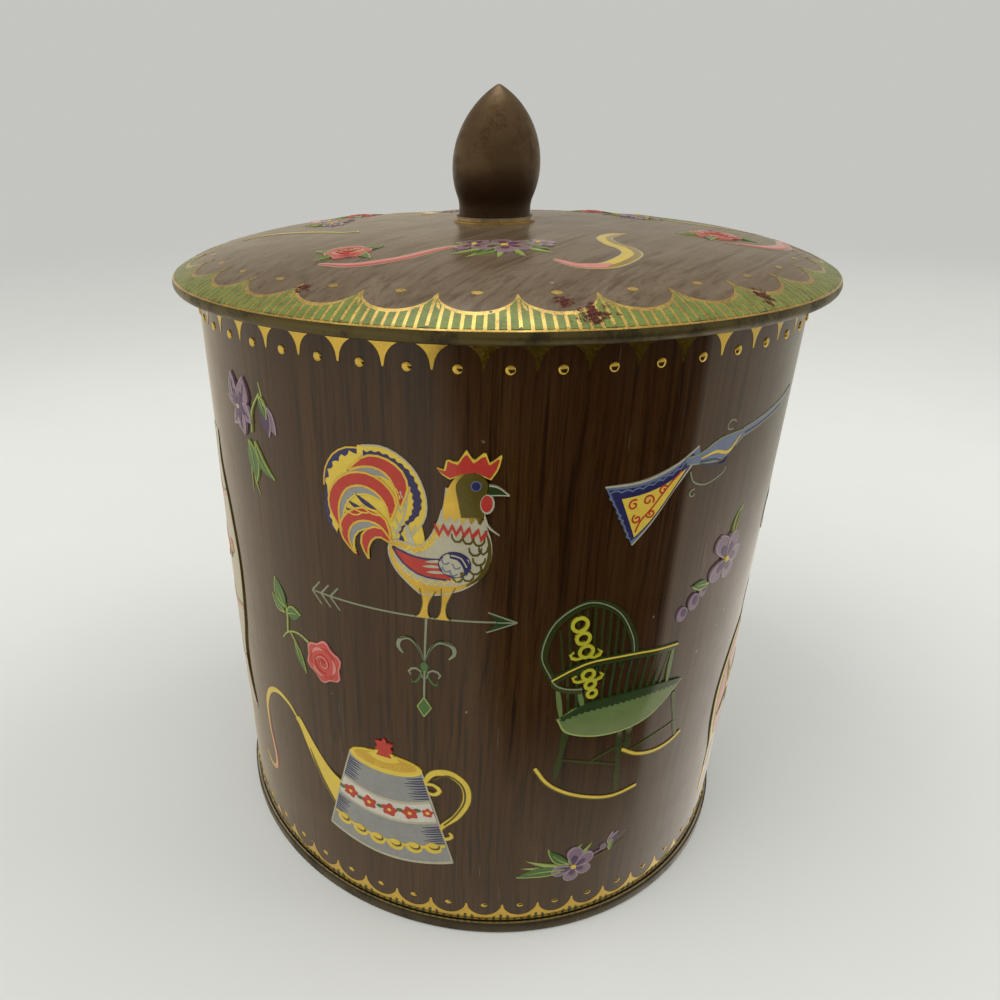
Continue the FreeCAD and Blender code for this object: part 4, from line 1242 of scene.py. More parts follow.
def draw_rooster(d):
    """A weathervane rooster: a tail of curled plumes with a toothed border, a scaled
    breast, a fingered wing, a zigzag collar and a pointed comb, on an arrow over scrolls."""
    d.bulges = ((3.5, 13, 8.5, 10, 1), (6.5, 26.5, 6, 9, 0.9), (-11.5, 23.5, 11, 12, 1))
    # arrow, post and scrolls
    d.stroke([(-25.6, -0.4), (-12, -0.2), (12.6, 0.2)], 0.38, "sage", 1)
    for x in (-24.9, -22.6, -20.3):
        d.stroke([(x - 1.2, -0.4), (x + 0.9, 2.2)], (0.45, 0.32), "sage", 1.4)
        d.stroke([(x - 1.2, -0.4), (x + 1.1, -3)], (0.45, 0.32), "sage", 1.4)
    d.blade([(10.9, 2.4), (16.4, 0.2)], [(12.6, 0.2), (16.4, 0.2)], "bottle", 2, True, "sage", 0.26)
    d.blade([(12.6, 0.2), (16.4, 0.2)], [(10.7, -2.1), (16.4, 0.2)], "bottle", 2.6, True, "sage", 0.26)
    d.stroke([(-0.7, 0.2), (-1, -8), (-1.2, -20)], (0.5, 0.42, 0.4), "sage", 1)
    d.stroke([(-0.2, 6.2), (-0.9, 3), (-0.4, 0.2)], 0.32, "cream", 1.4)
    for way, reach in ((-1, 5.3), (1, 5.9)):
        x = -1.1
        d.stroke([(x, -10.6), (x + way * 1.2, -7.2), (x + way * 3, -5.4), (x + way * reach * 0.92, -6),
                  (x + way * reach, -7.8), (x + way * reach * 0.82, -9.2)],
                 (0.25, 0.5, 0.6, 0.8, 0.75, 0.3), "sage", 2)
        d.stroke([(x, -10.6), (x + way * 1.35, -6.9), (x + way * 3, -5.1), (x + way * reach * 0.96, -5.8)],
                 (0.1, 0.25, 0.3, 0.15), "bottle", 3)
        d.stroke([(x + way * 0.4, -14.6), (x + way * 0.9, -12.8), (x + way * 2.2, -12.4),
                  (x + way * 3.2, -13.3), (x + way * 2.8, -14.2)], (0.2, 0.35, 0.45, 0.45, 0.2), "sage", 2)
        d.stroke([(x + way * 0.3, -12), (x + way * 1.2, -15), (x + way * 2.4, -16), (x + way * 2.6, -15.1)],
                 (0.2, 0.4, 0.4, 0.15), "leaf", 2)
    d.disc(-1.1, -11.6, 0.85, 1, "leaf", 2.5, steps=8)
    d.blade([(-1.2, -19.4), (-2.6, -21.9), (-1.2, -24.4)], [(-1.2, -19.4), (0.3, -21.9), (-1.2, -24.4)],
            "leaf", 2, True, "lime", 0.22)
    # tail: gold ground, far plume, border plume, then the red plumes
    far = [(-12.2, 33), (-15.4, 32.9), (-18.6, 31), (-20.6, 27.6), (-21, 24.4)]
    d.blade(far, [(-11.6, 31), (-14.2, 30.6), (-17.2, 28.8), (-19, 26.2), (-20, 24)], "navy", 1, edge="gold")
    d.blade(toothed([(-20.2, 24.4), (-18.6, 28.4), (-15.4, 31.2), (-11.6, 32.2)], 6, 0.9),
            [(-19, 23.6), (-17.4, 27.4), (-14.6, 29.4), (-11.4, 30.6)], "yellow", 1.6)
    d.blade(toothed([(-18.7, 13.8), (-20.9, 16.6), (-21.5, 20.4), (-20.9, 24.6)], 6, -0.7),
            [(-18.9, 14.4), (-19.2, 17.6), (-19.4, 21), (-19.2, 24.4)], "navy", 1)
    d.blade(toothed([(-18.8, 14.2), (-20, 17), (-20.4, 20.6), (-20, 24.6)], 5, -0.55),
            [(-18.8, 14.2), (-18.6, 17.6), (-18.6, 21), (-18.4, 24.4)], "yellow", 1.6)
    d.blade([(-0.6, 14.6), (-1.6, 20), (-5, 27), (-9.5, 31.3), (-15.2, 31.2), (-19.8, 26.2), (-20, 19.4)],
            [(-7, 12.6), (-7.8, 17.2), (-9.2, 19.4), (-11.4, 20.6), (-14.2, 20.2), (-17, 18.4), (-18.8, 15)],
            "yellow", 2)
    outer = [(-2.4, 12.6), (-3.6, 16.6), (-0.9, 21), (-0.9, 26), (-3.4, 31), (-8.2, 33.9), (-13.4, 33.6)]
    inner = [(-4.4, 13.4), (-6.3, 17.2), (-4.4, 22), (-4.2, 26.6), (-6.2, 30), (-9.4, 31.4), (-13.4, 31.8)]
    d.blade(outer, inner, "yellow", 2.4, edge="cream", edge_width=0.3)
    d.blade(toothed([(-4, 15.6), (-5, 18), (-1.7, 22), (-1.6, 26.2), (-3.9, 30.5), (-8.4, 33),
                     (-12.2, 32.9)], 17, 0.35),
            toothed([(-5.4, 15.8), (-5.2, 18.4), (-3, 22.2), (-3.1, 26.2), (-5.2, 29.7), (-8.8, 31.6),
                     (-12.2, 31.7)], 17, 0.35), "navy", 3.2)
    d.blade([(-3.4, 14.4), (-4.4, 17.4), (-4.4, 20)], [(-2.4, 15.4), (-3.3, 17.2), (-4.4, 20)], "cream", 3.9)
    plumes = (
        ([(-5, 23.4), (-3.9, 26.8), (-5, 30), (-8.2, 32), (-12, 31.8), (-15.7, 28.4)],
         [(-5.6, 23.4), (-6.2, 26.2), (-7.4, 28.6), (-9.6, 29.9), (-12.4, 29.8), (-15.7, 28.4)]),
        ([(-7.2, 20), (-6, 23.6), (-7.9, 27), (-11.6, 28.7), (-15.8, 27.8), (-19.2, 24.4), (-19.9, 20.2),
          (-17.4, 15.6)],
         [(-7.4, 20), (-8, 23), (-9.8, 25.2), (-12.6, 26.1), (-15.6, 25), (-17.4, 22), (-17.8, 18.8),
          (-17.4, 15.6)]),
        ([(-7.2, 16.6), (-8.2, 20.2), (-11.5, 21.8), (-14.8, 20.9), (-17.5, 17.8), (-17.3, 14.3),
          (-14.2, 11)],
         [(-7.6, 16.6), (-9.4, 18.7), (-12, 19.2), (-14.4, 18.2), (-15.7, 16.2), (-15.8, 13.8),
          (-14.2, 11)]),
        ([(-6.8, 15.2), (-8.8, 18.2), (-11.5, 17.8), (-13.2, 15.6), (-13.1, 13.3), (-11.9, 11)],
         [(-7.2, 15.2), (-9.4, 16.3), (-10.9, 15.4), (-11.7, 13.8), (-11.9, 12.6), (-11.9, 11)]))
    for number, (top, low) in enumerate(plumes):
        pale = np.array(low) + (0.9, -1.5)
        pale[0], pale[-1] = low[0], low[-1]
        if number < 3:
            d.blade(low, pale, "grey", 3.4 + number * 0.35, edge="yellow", edge_width=0.3)
        d.blade(top, low, "red", 3.9 + number * 0.35, edge="gold", edge_width=0.42)
    for start, tip in (((-14.2, 24.4), (-9.6, 21.6)), ((-13.4, 23), (-8.8, 20.8)),
                       ((-15.8, 22.6), (-11.4, 20.9)), ((-16.4, 20.8), (-12.8, 20.6))):
        d.leaf(tip, start, 1, "navy", 4.2, 0.3, edge="yellow", vein=None)
    for x, y in ((-5.6, 19.8), (-5.2, 22.6), (-4.6, 25.2), (-6.2, 18), (-3.4, 18.6)):
        d.stroke([(x - 0.7, y + 0.9), (x, y - 0.8), (x + 0.8, y + 1)], 0.28, "cream", 3.9)
    # body
    back = [(2.9, 27.6), (2.5, 24), (1.3, 20.4), (-0.2, 17.2), (-2.2, 15.4), (-4.6, 15.9), (-7.2, 16),
            (-7.8, 13.2), (-6.6, 10), (-4, 7.2), (-1.9, 5.4)]
    front = [(8, 29.6), (9.4, 26.4), (9.5, 23.5), (9.9, 20.6), (10.9, 17.2), (10.9, 13.6), (9.6, 10.4),
             (7, 7.9), (4.4, 6.6), (1.4, 5.6), (-1.9, 5.4)]
    d.blade(back, front, "gold", 4.6, edge="cream", edge_width=0.3)
    d.blade([(-1.9, 6.6), (-1.4, 3.4), (-2, 0.9), (-2.8, 0.1)],
            [(1.2, 6.4), (-0.2, 3.4), (-0.3, 1), (0.1, 0.1)], "gold", 4.6, edge="olive", edge_width=0.2)
    d.blade([(2.2, 7.2), (2.2, 3.4), (1.8, 1), (0.9, 0.1)], [(4.8, 7.6), (3.2, 3.6), (3.2, 1), (4, 0.1)],
            "gold", 4.6, edge="olive", edge_width=0.2)
    d.blade([(2.2, 20.8), (0.9, 17.4), (-1.6, 14.4), (-5.8, 14.9), (-6.7, 12.7), (-4.8, 9.4), (-0.6, 7.6)],
            [(9.5, 20.8), (10.4, 17.2), (10.4, 13.6), (9, 10.6), (6.8, 8.8), (4.4, 8), (-0.6, 7.6)],
            "cream", 5.2)
    for x, y, s in ((-5.2, 11, 0.9), (-3.8, 9.6, 0.9), (-2.2, 8.6, 0.9), (-0.5, 8.3, 0.9), (1.2, 8.4, 0.9),
                    (2.9, 8.8, 0.9), (4.6, 9.4, 0.9), (-4.4, 14.9, 0.8), (-2.8, 14.6, 0.8),
                    (-1.2, 15.4, 0.8), (0.3, 16.6, 0.8), (1.6, 18.4, 0.8)):
        d.stroke([(x - s, y + 0.5), (x - 0.1, y - 0.55), (x + s, y + 0.5)], (0.12, 0.4, 0.12), "yellow", 5.8)
    for x, y, s in ((5, 18.2, 1), (6.9, 17.9, 1), (8.8, 17.6, 1), (8.2, 15.6, 1.1), (9.6, 15.9, 0.8),
                    (8.9, 13.6, 1.1), (8.3, 11.7, 1.1), (7, 10.2, 1.1), (9.9, 12.4, 0.7), (5.2, 9.9, 1)):
        d.stroke([(x - s, y + 0.7), (x - 0.8 * s, y - 0.45), (x, y - 0.95), (x + 0.8 * s, y - 0.45),
                  (x + s, y + 0.7)], (0.25, 0.42, 0.46, 0.42, 0.25), "olive", 5.8)
    d.stroke([(9.6, 20.2), (10.6, 17.2), (10.6, 13.6), (9.3, 10.4), (6.8, 8.2)], (0.2, 0.5, 0.8, 0.8, 0.3),
             "olive", 5.5)
    # wing
    d.blade([(-7, 14.7), (-3.2, 13.4), (0.8, 13.3), (4, 13.9)],
            [(-7, 14.7), (-5.2, 11.8), (-1.6, 9.6), (4, 9.2)], "red", 6.2, edge="navy", edge_width=0.34)
    for a, b in (((-0.8, 12.6), (3.4, 13.2)), ((-1.4, 11.6), (3, 11.9)), ((-0.6, 10.5), (3.4, 10.7))):
        d.leaf(a, b, 0.62, "cream", 7, 0.1, edge=None, vein=None)
    d.disc(4.6, 12.6, 3, 2.7, "navy", 7.3, steps=14)
    d.disc(4.6, 12.6, 2.7, 2.4, "cream", 7.8, 7, 0.07, 0.4, steps=16)
    d.blade([(3.6, 15.2), (5.9, 14.9), (7.4, 12.6), (6.8, 10.6)],
            [(3.8, 14), (5.2, 13.6), (6.1, 12.2), (6.4, 10.8)], "navy", 8.4)
    d.stroke([(3.9, 14.6), (5.7, 14.2), (6.8, 12.3)], 0.26, "cream", 9)
    for x, y in ((2.9, 13.2), (3.1, 11.6), (4.4, 10.9), (4.9, 12.4)):
        d.stroke([(x - 0.7, y + 0.5), (x - 0.1, y - 0.6), (x + 0.8, y - 0.1)], 0.26, "blue", 8.4)
    d.disc(6, 10.9, 0.42, 0.42, "olive", 9, steps=7)
    # collar, neck and head
    d.blade([(2, 23.2), (5.6, 23.4), (9.6, 22.8)], toothed([(1.4, 20.8), (5.4, 20.6), (10, 19.9)], 6, -0.7),
            "cream", 6)
    zigzag = toothed([(0.9, 20), (5.4, 20.2), (10.2, 19.2)], 6, -1.7)
    d.blade(zigzag + (0, 0.75), zigzag - (0, 0.35), "red", 6.6, True)
    d.blade([(2.4, 22.8), (2.6, 25.4), (3.6, 28.4), (5.4, 30.6), (8, 30.8), (10, 29.2), (10.1, 27),
             (9.6, 25), (9.5, 22.8)], toothed([(2.3, 22.6), (5.8, 22.4), (9.6, 22.2)], 5, -1.5), "gold", 6.8)
    d.blade([(5.6, 22.2), (5, 25.4), (4.6, 28.6), (6.4, 30.6), (8.2, 30.7)],
            [(9.4, 22.4), (9.5, 25.2), (9.9, 27.2), (9.8, 29.2), (8.2, 30.7)], "olive", 7.2)
    comb = [(1.2, 31.2), (2.9, 30.8), (2.8, 33), (4.7, 32.3), (6.2, 34.8), (7.5, 32.8), (9.4, 34.6),
            (10.2, 32.4), (12.3, 34.2), (11.7, 31.4), (10.5, 29.5)]
    under = [(1.2, 31.2), (2.1, 30.1), (3.5, 29.3), (5.4, 30.2), (8, 30.6), (10.5, 29.5)]
    d.blade(comb, under, "yellow", 5.6, True)
    comb = [(1.4, 31), (3.1, 30.6), (3.1, 32.6), (4.8, 32), (6.2, 34.2), (7.5, 32.4), (9.3, 34), (10.1, 32),
            (11.9, 33.6), (11.3, 31.4), (10.3, 29.8)]
    d.blade(comb, [(1.4, 31), (2.2, 30.3), (3.6, 29.6), (5.4, 30.5), (8, 30.9), (10.3, 29.8)], "red", 7.4,
            True)
    d.disc(10, 25, 1.25, 1.9, "cream", 7.4, steps=12)
    d.disc(9.9, 25.1, 1, 1.6, "red", 8, steps=12)
    d.blade([(10.2, 28.5), (11.8, 28.1), (13.7, 26.6)], [(10.1, 26.7), (11.8, 26.7), (13.7, 26.6)], "bottle",
            7.4, edge="cream", edge_width=0.2)
    d.stroke([(9.6, 22.6), (10.4, 20.4), (12.3, 18.8)], (0.3, 0.35, 0.1), "cream", 7)
    d.disc(8, 28.4, 0.95, 0.95, "blue", 7.8, steps=10)
    d.disc(8, 28.4, 0.75, 0.78, "navy", 8.4, steps=10)


def draw_coffee_pot(d):
    """A tall coffee pot: a tapered enamel body with hatched sides, a flowered band and a
    scalloped foot, a long spout with a ribbon at its tip, and a curled handle."""
    d.bulges = ((0, 1, 16, 19, 1),)

    def band(low, high, ink, layer, inset=0):
        """Part of the body between two heights, 0 at the foot and 1 at the shoulder:
        half width 15.3 - 7.1 u, each level line bowed down by a parabola."""
        v = np.linspace(-1, 1, 40)[None, :]
        level = low + (high - low) * np.linspace(0, 1, 5)[:, None]
        half = 15.3 - 7.1 * level - inset
        d.patch(0.3 + half * v, -12.6 + 26.4 * level - 2.5 * (1 - v ** 2) * (1 - 0.25 * level), ink, layer)

    d.blade([(-10.4, 2.6), (-14.4, 4.6), (-18.4, 8.8), (-22.8, 14.4), (-24.2, 14.9)],
            [(-13.4, -6.4), (-17.6, -0.6), (-20.9, 6), (-24, 12.4), (-25.2, 13.6)], "yellow", 1,
            edge="olive", edge_width=0.24)
    d.blade([(-13.2, -5.4), (-17, 0.4), (-20.6, 7.4)], [(-13.4, -6.4), (-17.6, -0.6), (-20.6, 6.8)], "olive",
            1.8)
    handle = [(9.2, 8.6), (11.4, 7.6), (12.8, 9), (11.4, 10.4), (9.6, 10.6), (11.2, 13.6), (14.8, 14.2),
              (18, 11.4), (18.6, 6.8), (16.6, 2), (13.6, -1.4), (12.6, -3.8), (14, -5.6), (15.6, -4.6),
              (15, -3.4)]
    widths = (0.5, 0.8, 0.9, 0.7, 0.9, 1.4, 1.7, 1.7, 1.7, 1.5, 1.2, 1, 0.9, 0.8, 0.4)
    d.stroke(handle, np.array(widths) + 0.55, "olive", 1)
    d.stroke(handle, widths, "yellow", 1.8)
    d.stroke([(11.4, 12), (14.6, 13.6), (17.6, 11.2), (18.2, 6.8), (16.3, 2.2), (13.8, -1.2)], 0.42, "olive",
             2.5)
    band(-0.015, 1, "cream", 2, -0.4)
    band(0, 0.985, "grey", 2.8)
    for number in range(30):
        level = 0.17 + number * 0.026
        if 0.42 < level < 0.71:
            continue
        half = 15.3 - 7.1 * level
        y = -12.6 + 26.4 * level
        for way, reach in ((-1, 2.6 + 1.2 * ((number * 7) % 5) / 5),
                           (1, 3.4 + 1.4 * ((number * 5) % 4) / 4)):
            d.stroke([(0.3 + way * half, y), (0.3 + way * (half - reach * 0.5), y - 0.55),
                      (0.3 + way * (half - reach), y - 0.95)], (0.36, 0.28, 0.06), "navy", 3.4)
    band(0.45, 0.69, "cream", 3.6, 0.1)
    band(0.475, 0.665, "white", 4.2, 0.1)
    for x, turn in ((-8.4, 0), (-3.6, 0.5), (1.4, 0.2), (6.2, 0.7), (10.2, 0.3)):
        level = 0.57
        bow = 2.5 * (1 - (x / 11.3) ** 2) * 0.86
        y = -12.6 + 26.4 * level - bow
        size = 1.75 if x < 9 else 1.2
        d.disc(x - 2.3, y + 0.2, 0.9, 0.55, "leaf", 4.8, steps=7)
        d.disc(x, y, size, size * 0.95, "red", 5.2, 5, 0.2, turn, steps=14)
        d.disc(x, y, 0.5, 0.45, "yellow", 5.9, steps=7)
    band(0.17, 0.20, "yellow", 3.6, 0.1)
    for number in range(6):
        v = -1 + (number + 0.5) / 3
        x, y = 0.3 + 13.4 * v, -12.6 + 26.4 * 0.165 - 2.4 * (1 - v * v)
        d.disc(x, y, 2, 1.7, "yellow", 4.2, steps=12)
        d.disc(x + 0.3, y + 0.5, 1.3, 1, "olive", 4.8, steps=9)
        d.disc(x + 0.1, y + 0.9, 1.1, 0.8, "yellow", 5.4, steps=9)
    band(-0.015, 0.012, "cream", 4.4, -0.2)
    d.disc(0.4, 13.6, 8.6, 2.7, "yellow", 3.6, steps=20)
    d.disc(0.4, 14.1, 7.4, 1.9, "gold", 4.2, steps=18)
    d.blade([(-3.4, 15.2), (-1, 16.9), (1.6, 16.9), (4.2, 15.2)],
            [(-3.4, 15.2), (-1, 14.2), (1.6, 14.2), (4.2, 15.2)], "yellow", 4.8)
    d.disc(0.4, 18.3, 1.9, 1.7, "red", 5.6, 6, 0.28, 0.5, steps=16)
    d.blade([(-1.4, 15.6), (-0.6, 17.6)], [(2.2, 15.6), (1.4, 17.6)], "red", 5.4, True)
    ribbon = [(-24.6, 14.2), (-27.4, 16.6), (-31.8, 17.4), (-36, 15), (-38.6, 9.6), (-38.6, 2), (-37, -6),
              (-37.4, -10.8), (-40.4, -12.2), (-43.2, -9.6)]
    d.stroke(ribbon, (0.5, 0.9, 1.2, 1.4, 1.3, 1.1, 1.1, 1.2, 1, 0.4), "yellow", 1)
    d.stroke([(x + 0.25, y) for x, y in ribbon[4:9]], (0.1, 0.6, 0.8, 0.7, 0.2), "pink", 1.7)


def draw_rocking_chair(d):
    """A Windsor rocking chair seen from its left: a hooped back with a ringed splat, an
    arm rail on thin spindles, a scooped seat, turned legs and two rockers."""
    d.bulges = ((3, 0, 15, 8, 0.8), (-5, 16, 11, 13, 0.8))
    rail = [(-13.6, 9.2), (-9.6, 11.6), (-5.2, 13), (1.8, 12.8), (9, 11.8), (15.2, 11.2)]
    for number in range(9):
        top = -13.6 + 15.0 * (number + 0.5) / 9
        height = 10.5 + 15.4 * math.sqrt(max(0, 1 - ((top + 6) / 9.6) ** 2))
        foot = -12.0 + 13.4 * (number + 0.5) / 9
        d.stroke([(foot, 10.6), ((foot + top) / 2, 16.5), (top, height)], 0.5, "moss", 1)
    for number in range(14):
        x = -12.6 + 26.0 * number / 13
        d.stroke([(x, 12.0 - abs(x + 2) * 0.08), (x * 0.86 - 0.4, 1.4)], (0.45, 0.6),
                 "moss" if number % 2 else "bottle", 1)
    hoop = [(-13.2, 9.4), (-15.6, 15.6), (-13.4, 23), (-7.4, 26.8), (-1.2, 24), (2.8, 17.4), (4, 12)]
    d.stroke(hoop, 1.5, "bottle", 1.6)
    d.stroke(hoop, 1, "moss", 2.2)
    d.stroke([(x - 0.3, y + 0.3) for x, y in hoop], 0.24, "sage", 2.8)
    for number, (x, y, size) in enumerate(((-9, 22.4, 1.5), (-8.1, 19.2, 1.3), (-7.2, 16, 1.35),
                                           (-6.2, 10.2, 1.2), (-5.5, 7.6, 1.05), (-4.9, 5.2, 0.95))):
        d.loop(x, y, size, size, 0.72, "lemon", 3)
        for way in (-1, 1):
            if number in (2, 3):
                d.stroke([(x, y - 1.2), (x + way * 2.2, y - 1.6), (x + way * 3.2, y - 0.6),
                          (x + way * 2.4, y + 0.1)], (0.5, 0.6, 0.55, 0.2), "lemon", 3)
    d.stroke(rail, 1.7, "bottle", 3.4)
    d.stroke(rail, 1.1, "moss", 4)
    d.stroke([(x, y + 0.4) for x, y in rail], 0.36, "yellow", 4.6)
    near = [(-13.6, 9.2), (-12.2, 7.6), (-9.8, 6.7), (-7.2, 6.4)]
    d.stroke(near, (1.2, 1.3, 1.4, 1.8), "moss", 4)
    d.stroke([(x, y + 0.4) for x, y in near], 0.3, "sage", 4.6)
    for foot, top in (((-6.6, 1.8), (-7.6, 6.2)), ((-11, 0.2), (-12.2, 7.4)), ((13.6, 2.6), (14, 10.8))):
        d.stroke([foot, ((foot[0] + top[0]) / 2, (foot[1] + top[1]) / 2), top], (0.7, 1.1, 0.7), "green",
                 3.4)
    # legs and rails under the seat
    turned = (0.7, 1.2, 0.8, 1.25, 0.6)
    for top, foot in (((-9.4, -2.6), (-10.9, -16.8)), ((2.9, -6.2), (4.1, -24.6)),
                      ((16.6, -1.6), (20.1, -15.8)), ((5.4, -5.6), (5.2, -12.8))):
        part = np.array([0, 0.25, 0.5, 0.75, 1])[:, None]
        line = np.array(top) * (1 - part) + np.array(foot) * part
        d.stroke(line, np.array(turned) + 0.45, "bottle", 1)
        d.stroke(line, turned, "moss", 1.7)
    for a, b in (((-10.2, -11.6), (3.4, -16.4)), ((-3.8, -13.8), (5.4, -10.4)),
                 ((3.6, -14.2), (19.2, -10.6))):
        d.stroke([a, ((a[0] + b[0]) / 2, (a[1] + b[1]) / 2 + 0.2), b], (0.45, 0.75, 0.45), "moss", 2.4)
    for line in ([(-15.4, -13.6), (-12.6, -18), (-8.4, -21.4), (-2.6, -24.2), (3.4, -25.8), (9.8, -25.2)],
                 [(4.2, -12.6), (8.4, -15.4), (13.4, -16.8), (18.2, -16.6), (21.8, -15.2)]):
        d.stroke(line, 1.25, "olive", 2.8)
        d.stroke([(x, y + 0.15) for x, y in line], 0.7, "yellow", 3.4)
    # seat
    d.blade([(-11.8, -0.6), (-6.4, 2.6), (2.4, 3.2), (10.8, 2.8), (18.6, 1.2)],
            [(-11.8, -0.6), (-9.2, -4.6), (-1, -6.8), (9.4, -5.6), (18.6, 1.2)], "lime", 3.6)
    d.blade([(-11.6, -0.4), (-6.2, 2.7), (2.4, 3.3), (10.8, 2.9), (18.4, 1.4)],
            [(-11.4, -0.6), (-8.9, -4.3), (-1, -6.4), (9.2, -5.3), (18.3, 1.2)], "green", 4.2)
    d.blade([(-11, 0), (-6, 2.8), (2.4, 3.4), (10.8, 3), (17.6, 1.8)],
            toothed([(-11, -0.8), (-6, 1), (2.4, 1.6), (10.8, 1.4), (17.6, 0.9)], 22, -0.5), "bottle", 4.9)


def draw_long_gun(d):
    """An old long gun: a flared stock with a toothed border round a scrolled panel, a
    lock with loops of bright line, and a thin barrel."""
    d.bulges = ((0, 2, 11, 9, 1),)
    d.blade([(-9, 5.6), (-2, 5.9), (4.6, 7.8), (9.6, 10.6)],
            [(-2.4, -6.8), (0.9, -2.6), (4.8, 3.2), (10.2, 9)], "blue", 1, edge="cream", edge_width=0.3)
    d.blade([(-8.3, 5), (-2, 5.2), (4, 6.8), (8.4, 9.4)],
            [(-2.8, -5.8), (0.4, -2.6), (4.2, 2.8), (9.2, 8.8)], "navy", 1.8)
    d.stroke(toothed([(-8, 4.4), (-2, 4.6), (4.4, 6.4), (7.6, 8.2)], 8, 0.5), 0.3, "blue", 2.5)
    d.stroke(toothed([(-7.8, 4), (-5.4, -0.4), (-3, -5.2)], 7, -0.5), 0.3, "blue", 2.5)
    d.blade([(-5.9, 3.3), (-1.4, 3.8), (3.4, 5.2), (7.6, 7.4)],
            [(-2.2, -5.2), (0.6, -2.2), (4.2, 2.8), (7.6, 7.4)], "yellow", 2.6, edge="navy", edge_width=0.26)
    for x, y, r, start in ((-3.4, 1.7, 1.1, 60), (-0.6, 2.2, 1.2, -30), (2.3, 3.7, 1, 20),
                           (-2.4, -1.2, 1, 120), (0.3, -0.5, 0.9, 200)):
        turn = np.radians(np.linspace(start, start + 420, 22))
        reach = r * np.linspace(1, 0.2, 22)
        d.stroke(ring_of(x, y, reach, reach, turn), 0.34, "red", 3.6, exact=True)
    d.stroke([(-2.3, -4), (-1.6, -1.8), (0.6, 0.8), (3.6, 4.6), (6, 6.6)], 0.32, "red", 3.4)
    # wrist, lock and barrel
    d.blade([(6.6, 8.8), (10.2, 9), (14.4, 10.8), (18.4, 11.2), (21.8, 11.2)],
            [(7.2, 7.4), (11, 7), (16, 6.6), (19.8, 8.6), (22.2, 10)], "blue", 2.2, edge="sage",
            edge_width=0.26)
    d.stroke([(10.4, 8), (14.2, 8.6), (17.8, 7.8), (20.8, 10.4)], (0.2, 0.55, 0.6, 0.2), "yellow", 3.2)
    for way in (0, 1):
        d.stroke([(10.4, 7.4 - way * 0.4), (14, 7.2 - way), (17, 6.4 - way * 0.6), (19.6, 8.6)], 0.26,
                 "navy", 3)
    d.stroke([(8.4, 5.8), (9.6, 3.6), (13, 2.4), (17.4, 3.6), (18, 4.8)], 0.26, "sage", 1)
    d.loop(17.6, 13, 1.2, 0.9, 0.24, "sage", 1, 20, 300)
    d.loop(9.8, 1.4, 0.8, 0.7, 0.22, "sage", 1, 60, 330)
    d.blade([(21.6, 11.4), (29, 12.3), (37, 13.4), (44, 14.6)],
            [(22, 9.8), (29.2, 10.8), (37.2, 12), (44.2, 13.4)], "blue", 1.6, edge="sage", edge_width=0.24)
    d.stroke([(22.4, 10.4), (29.6, 11.2), (37.4, 12.3)], 0.3, "navy", 2.6)


def draw_tall_jug(d):
    """A tall cream jug with a foot, a swelling belly, a narrow neck and a long handle."""
    d.bulges = ((0, -6, 14, 44, 1),)
    left = [(-3, 38), (-2.6, 30), (-6.6, 20), (-9.4, 6), (-7.4, -10), (-4.2, -20), (-4, -28), (-8.4, -38)]
    right = [(3.4, 38), (2.8, 30), (7.2, 20), (10.2, 6), (8.2, -10), (4.6, -20), (5.4, -28), (9.8, -38)]
    d.stroke([(3.6, 34), (9.8, 32), (13.4, 24), (13, 14), (9.6, 8)], (1.2, 1.6, 1.6, 1.4, 1), "olive", 1)
    d.stroke([(3.6, 34.3), (9.6, 32.3), (13, 24), (12.6, 14), (9.6, 8.4)], (0.6, 0.9, 0.9, 0.7, 0.4),
             "cream", 1.8)
    d.blade(left, right, "cream", 1.6, edge="olive", edge_width=0.4)
    for height, half in ((24, 5.6), (-6, 8.4), (-24, 4)):
        d.stroke([(-half + 0.6, height), (0.3, height - 1.8), (half, height)], 0.7, "olive", 2.6)
        d.stroke([(-half + 0.7, height - 1.2), (0.3, height - 3), (half - 0.2, height - 1.2)], 0.5, "pink",
                 2.6)
    for x, y in ((-4, 8.6), (0.6, 6.8), (5.2, 8.6)):
        d.disc(x, y, 1.7, 1.8, "rose", 3, 5, 0.2, x, steps=12)
        d.disc(x, y, 0.5, 0.5, "yellow", 3.7, steps=7)
        d.leaf((x + 0.6, y - 1.6), (x + 2.4, y - 4.4), 1.2, "leaf", 3)


def draw_ladle(d):
    """A slender ladle hung by its hook."""
    d.bulges = ((0, -14, 8, 14, 0.8),)
    d.stroke([(0.6, 34), (2.4, 36), (3.8, 34), (2.6, 31), (1.6, 24), (0.8, 14), (0, 6)],
             (0.4, 0.5, 0.5, 0.6, 0.8, 0.9, 1), "grey", 1)
    d.stroke([(2.5, 31), (1.5, 24), (0.7, 14), (0, 6)], 0.24, "white", 1.8)
    d.disc(-0.6, 1.6, 4.2, 5, "grey", 1.4, steps=18)
    d.disc(-0.6, 1.9, 3.5, 4.1, "bottle", 2.1, steps=16)
    d.stroke([(-3.2, 3.8), (-2, 5.2), (0.4, 5.6)], (0.15, 0.4, 0.15), "white", 2.8)


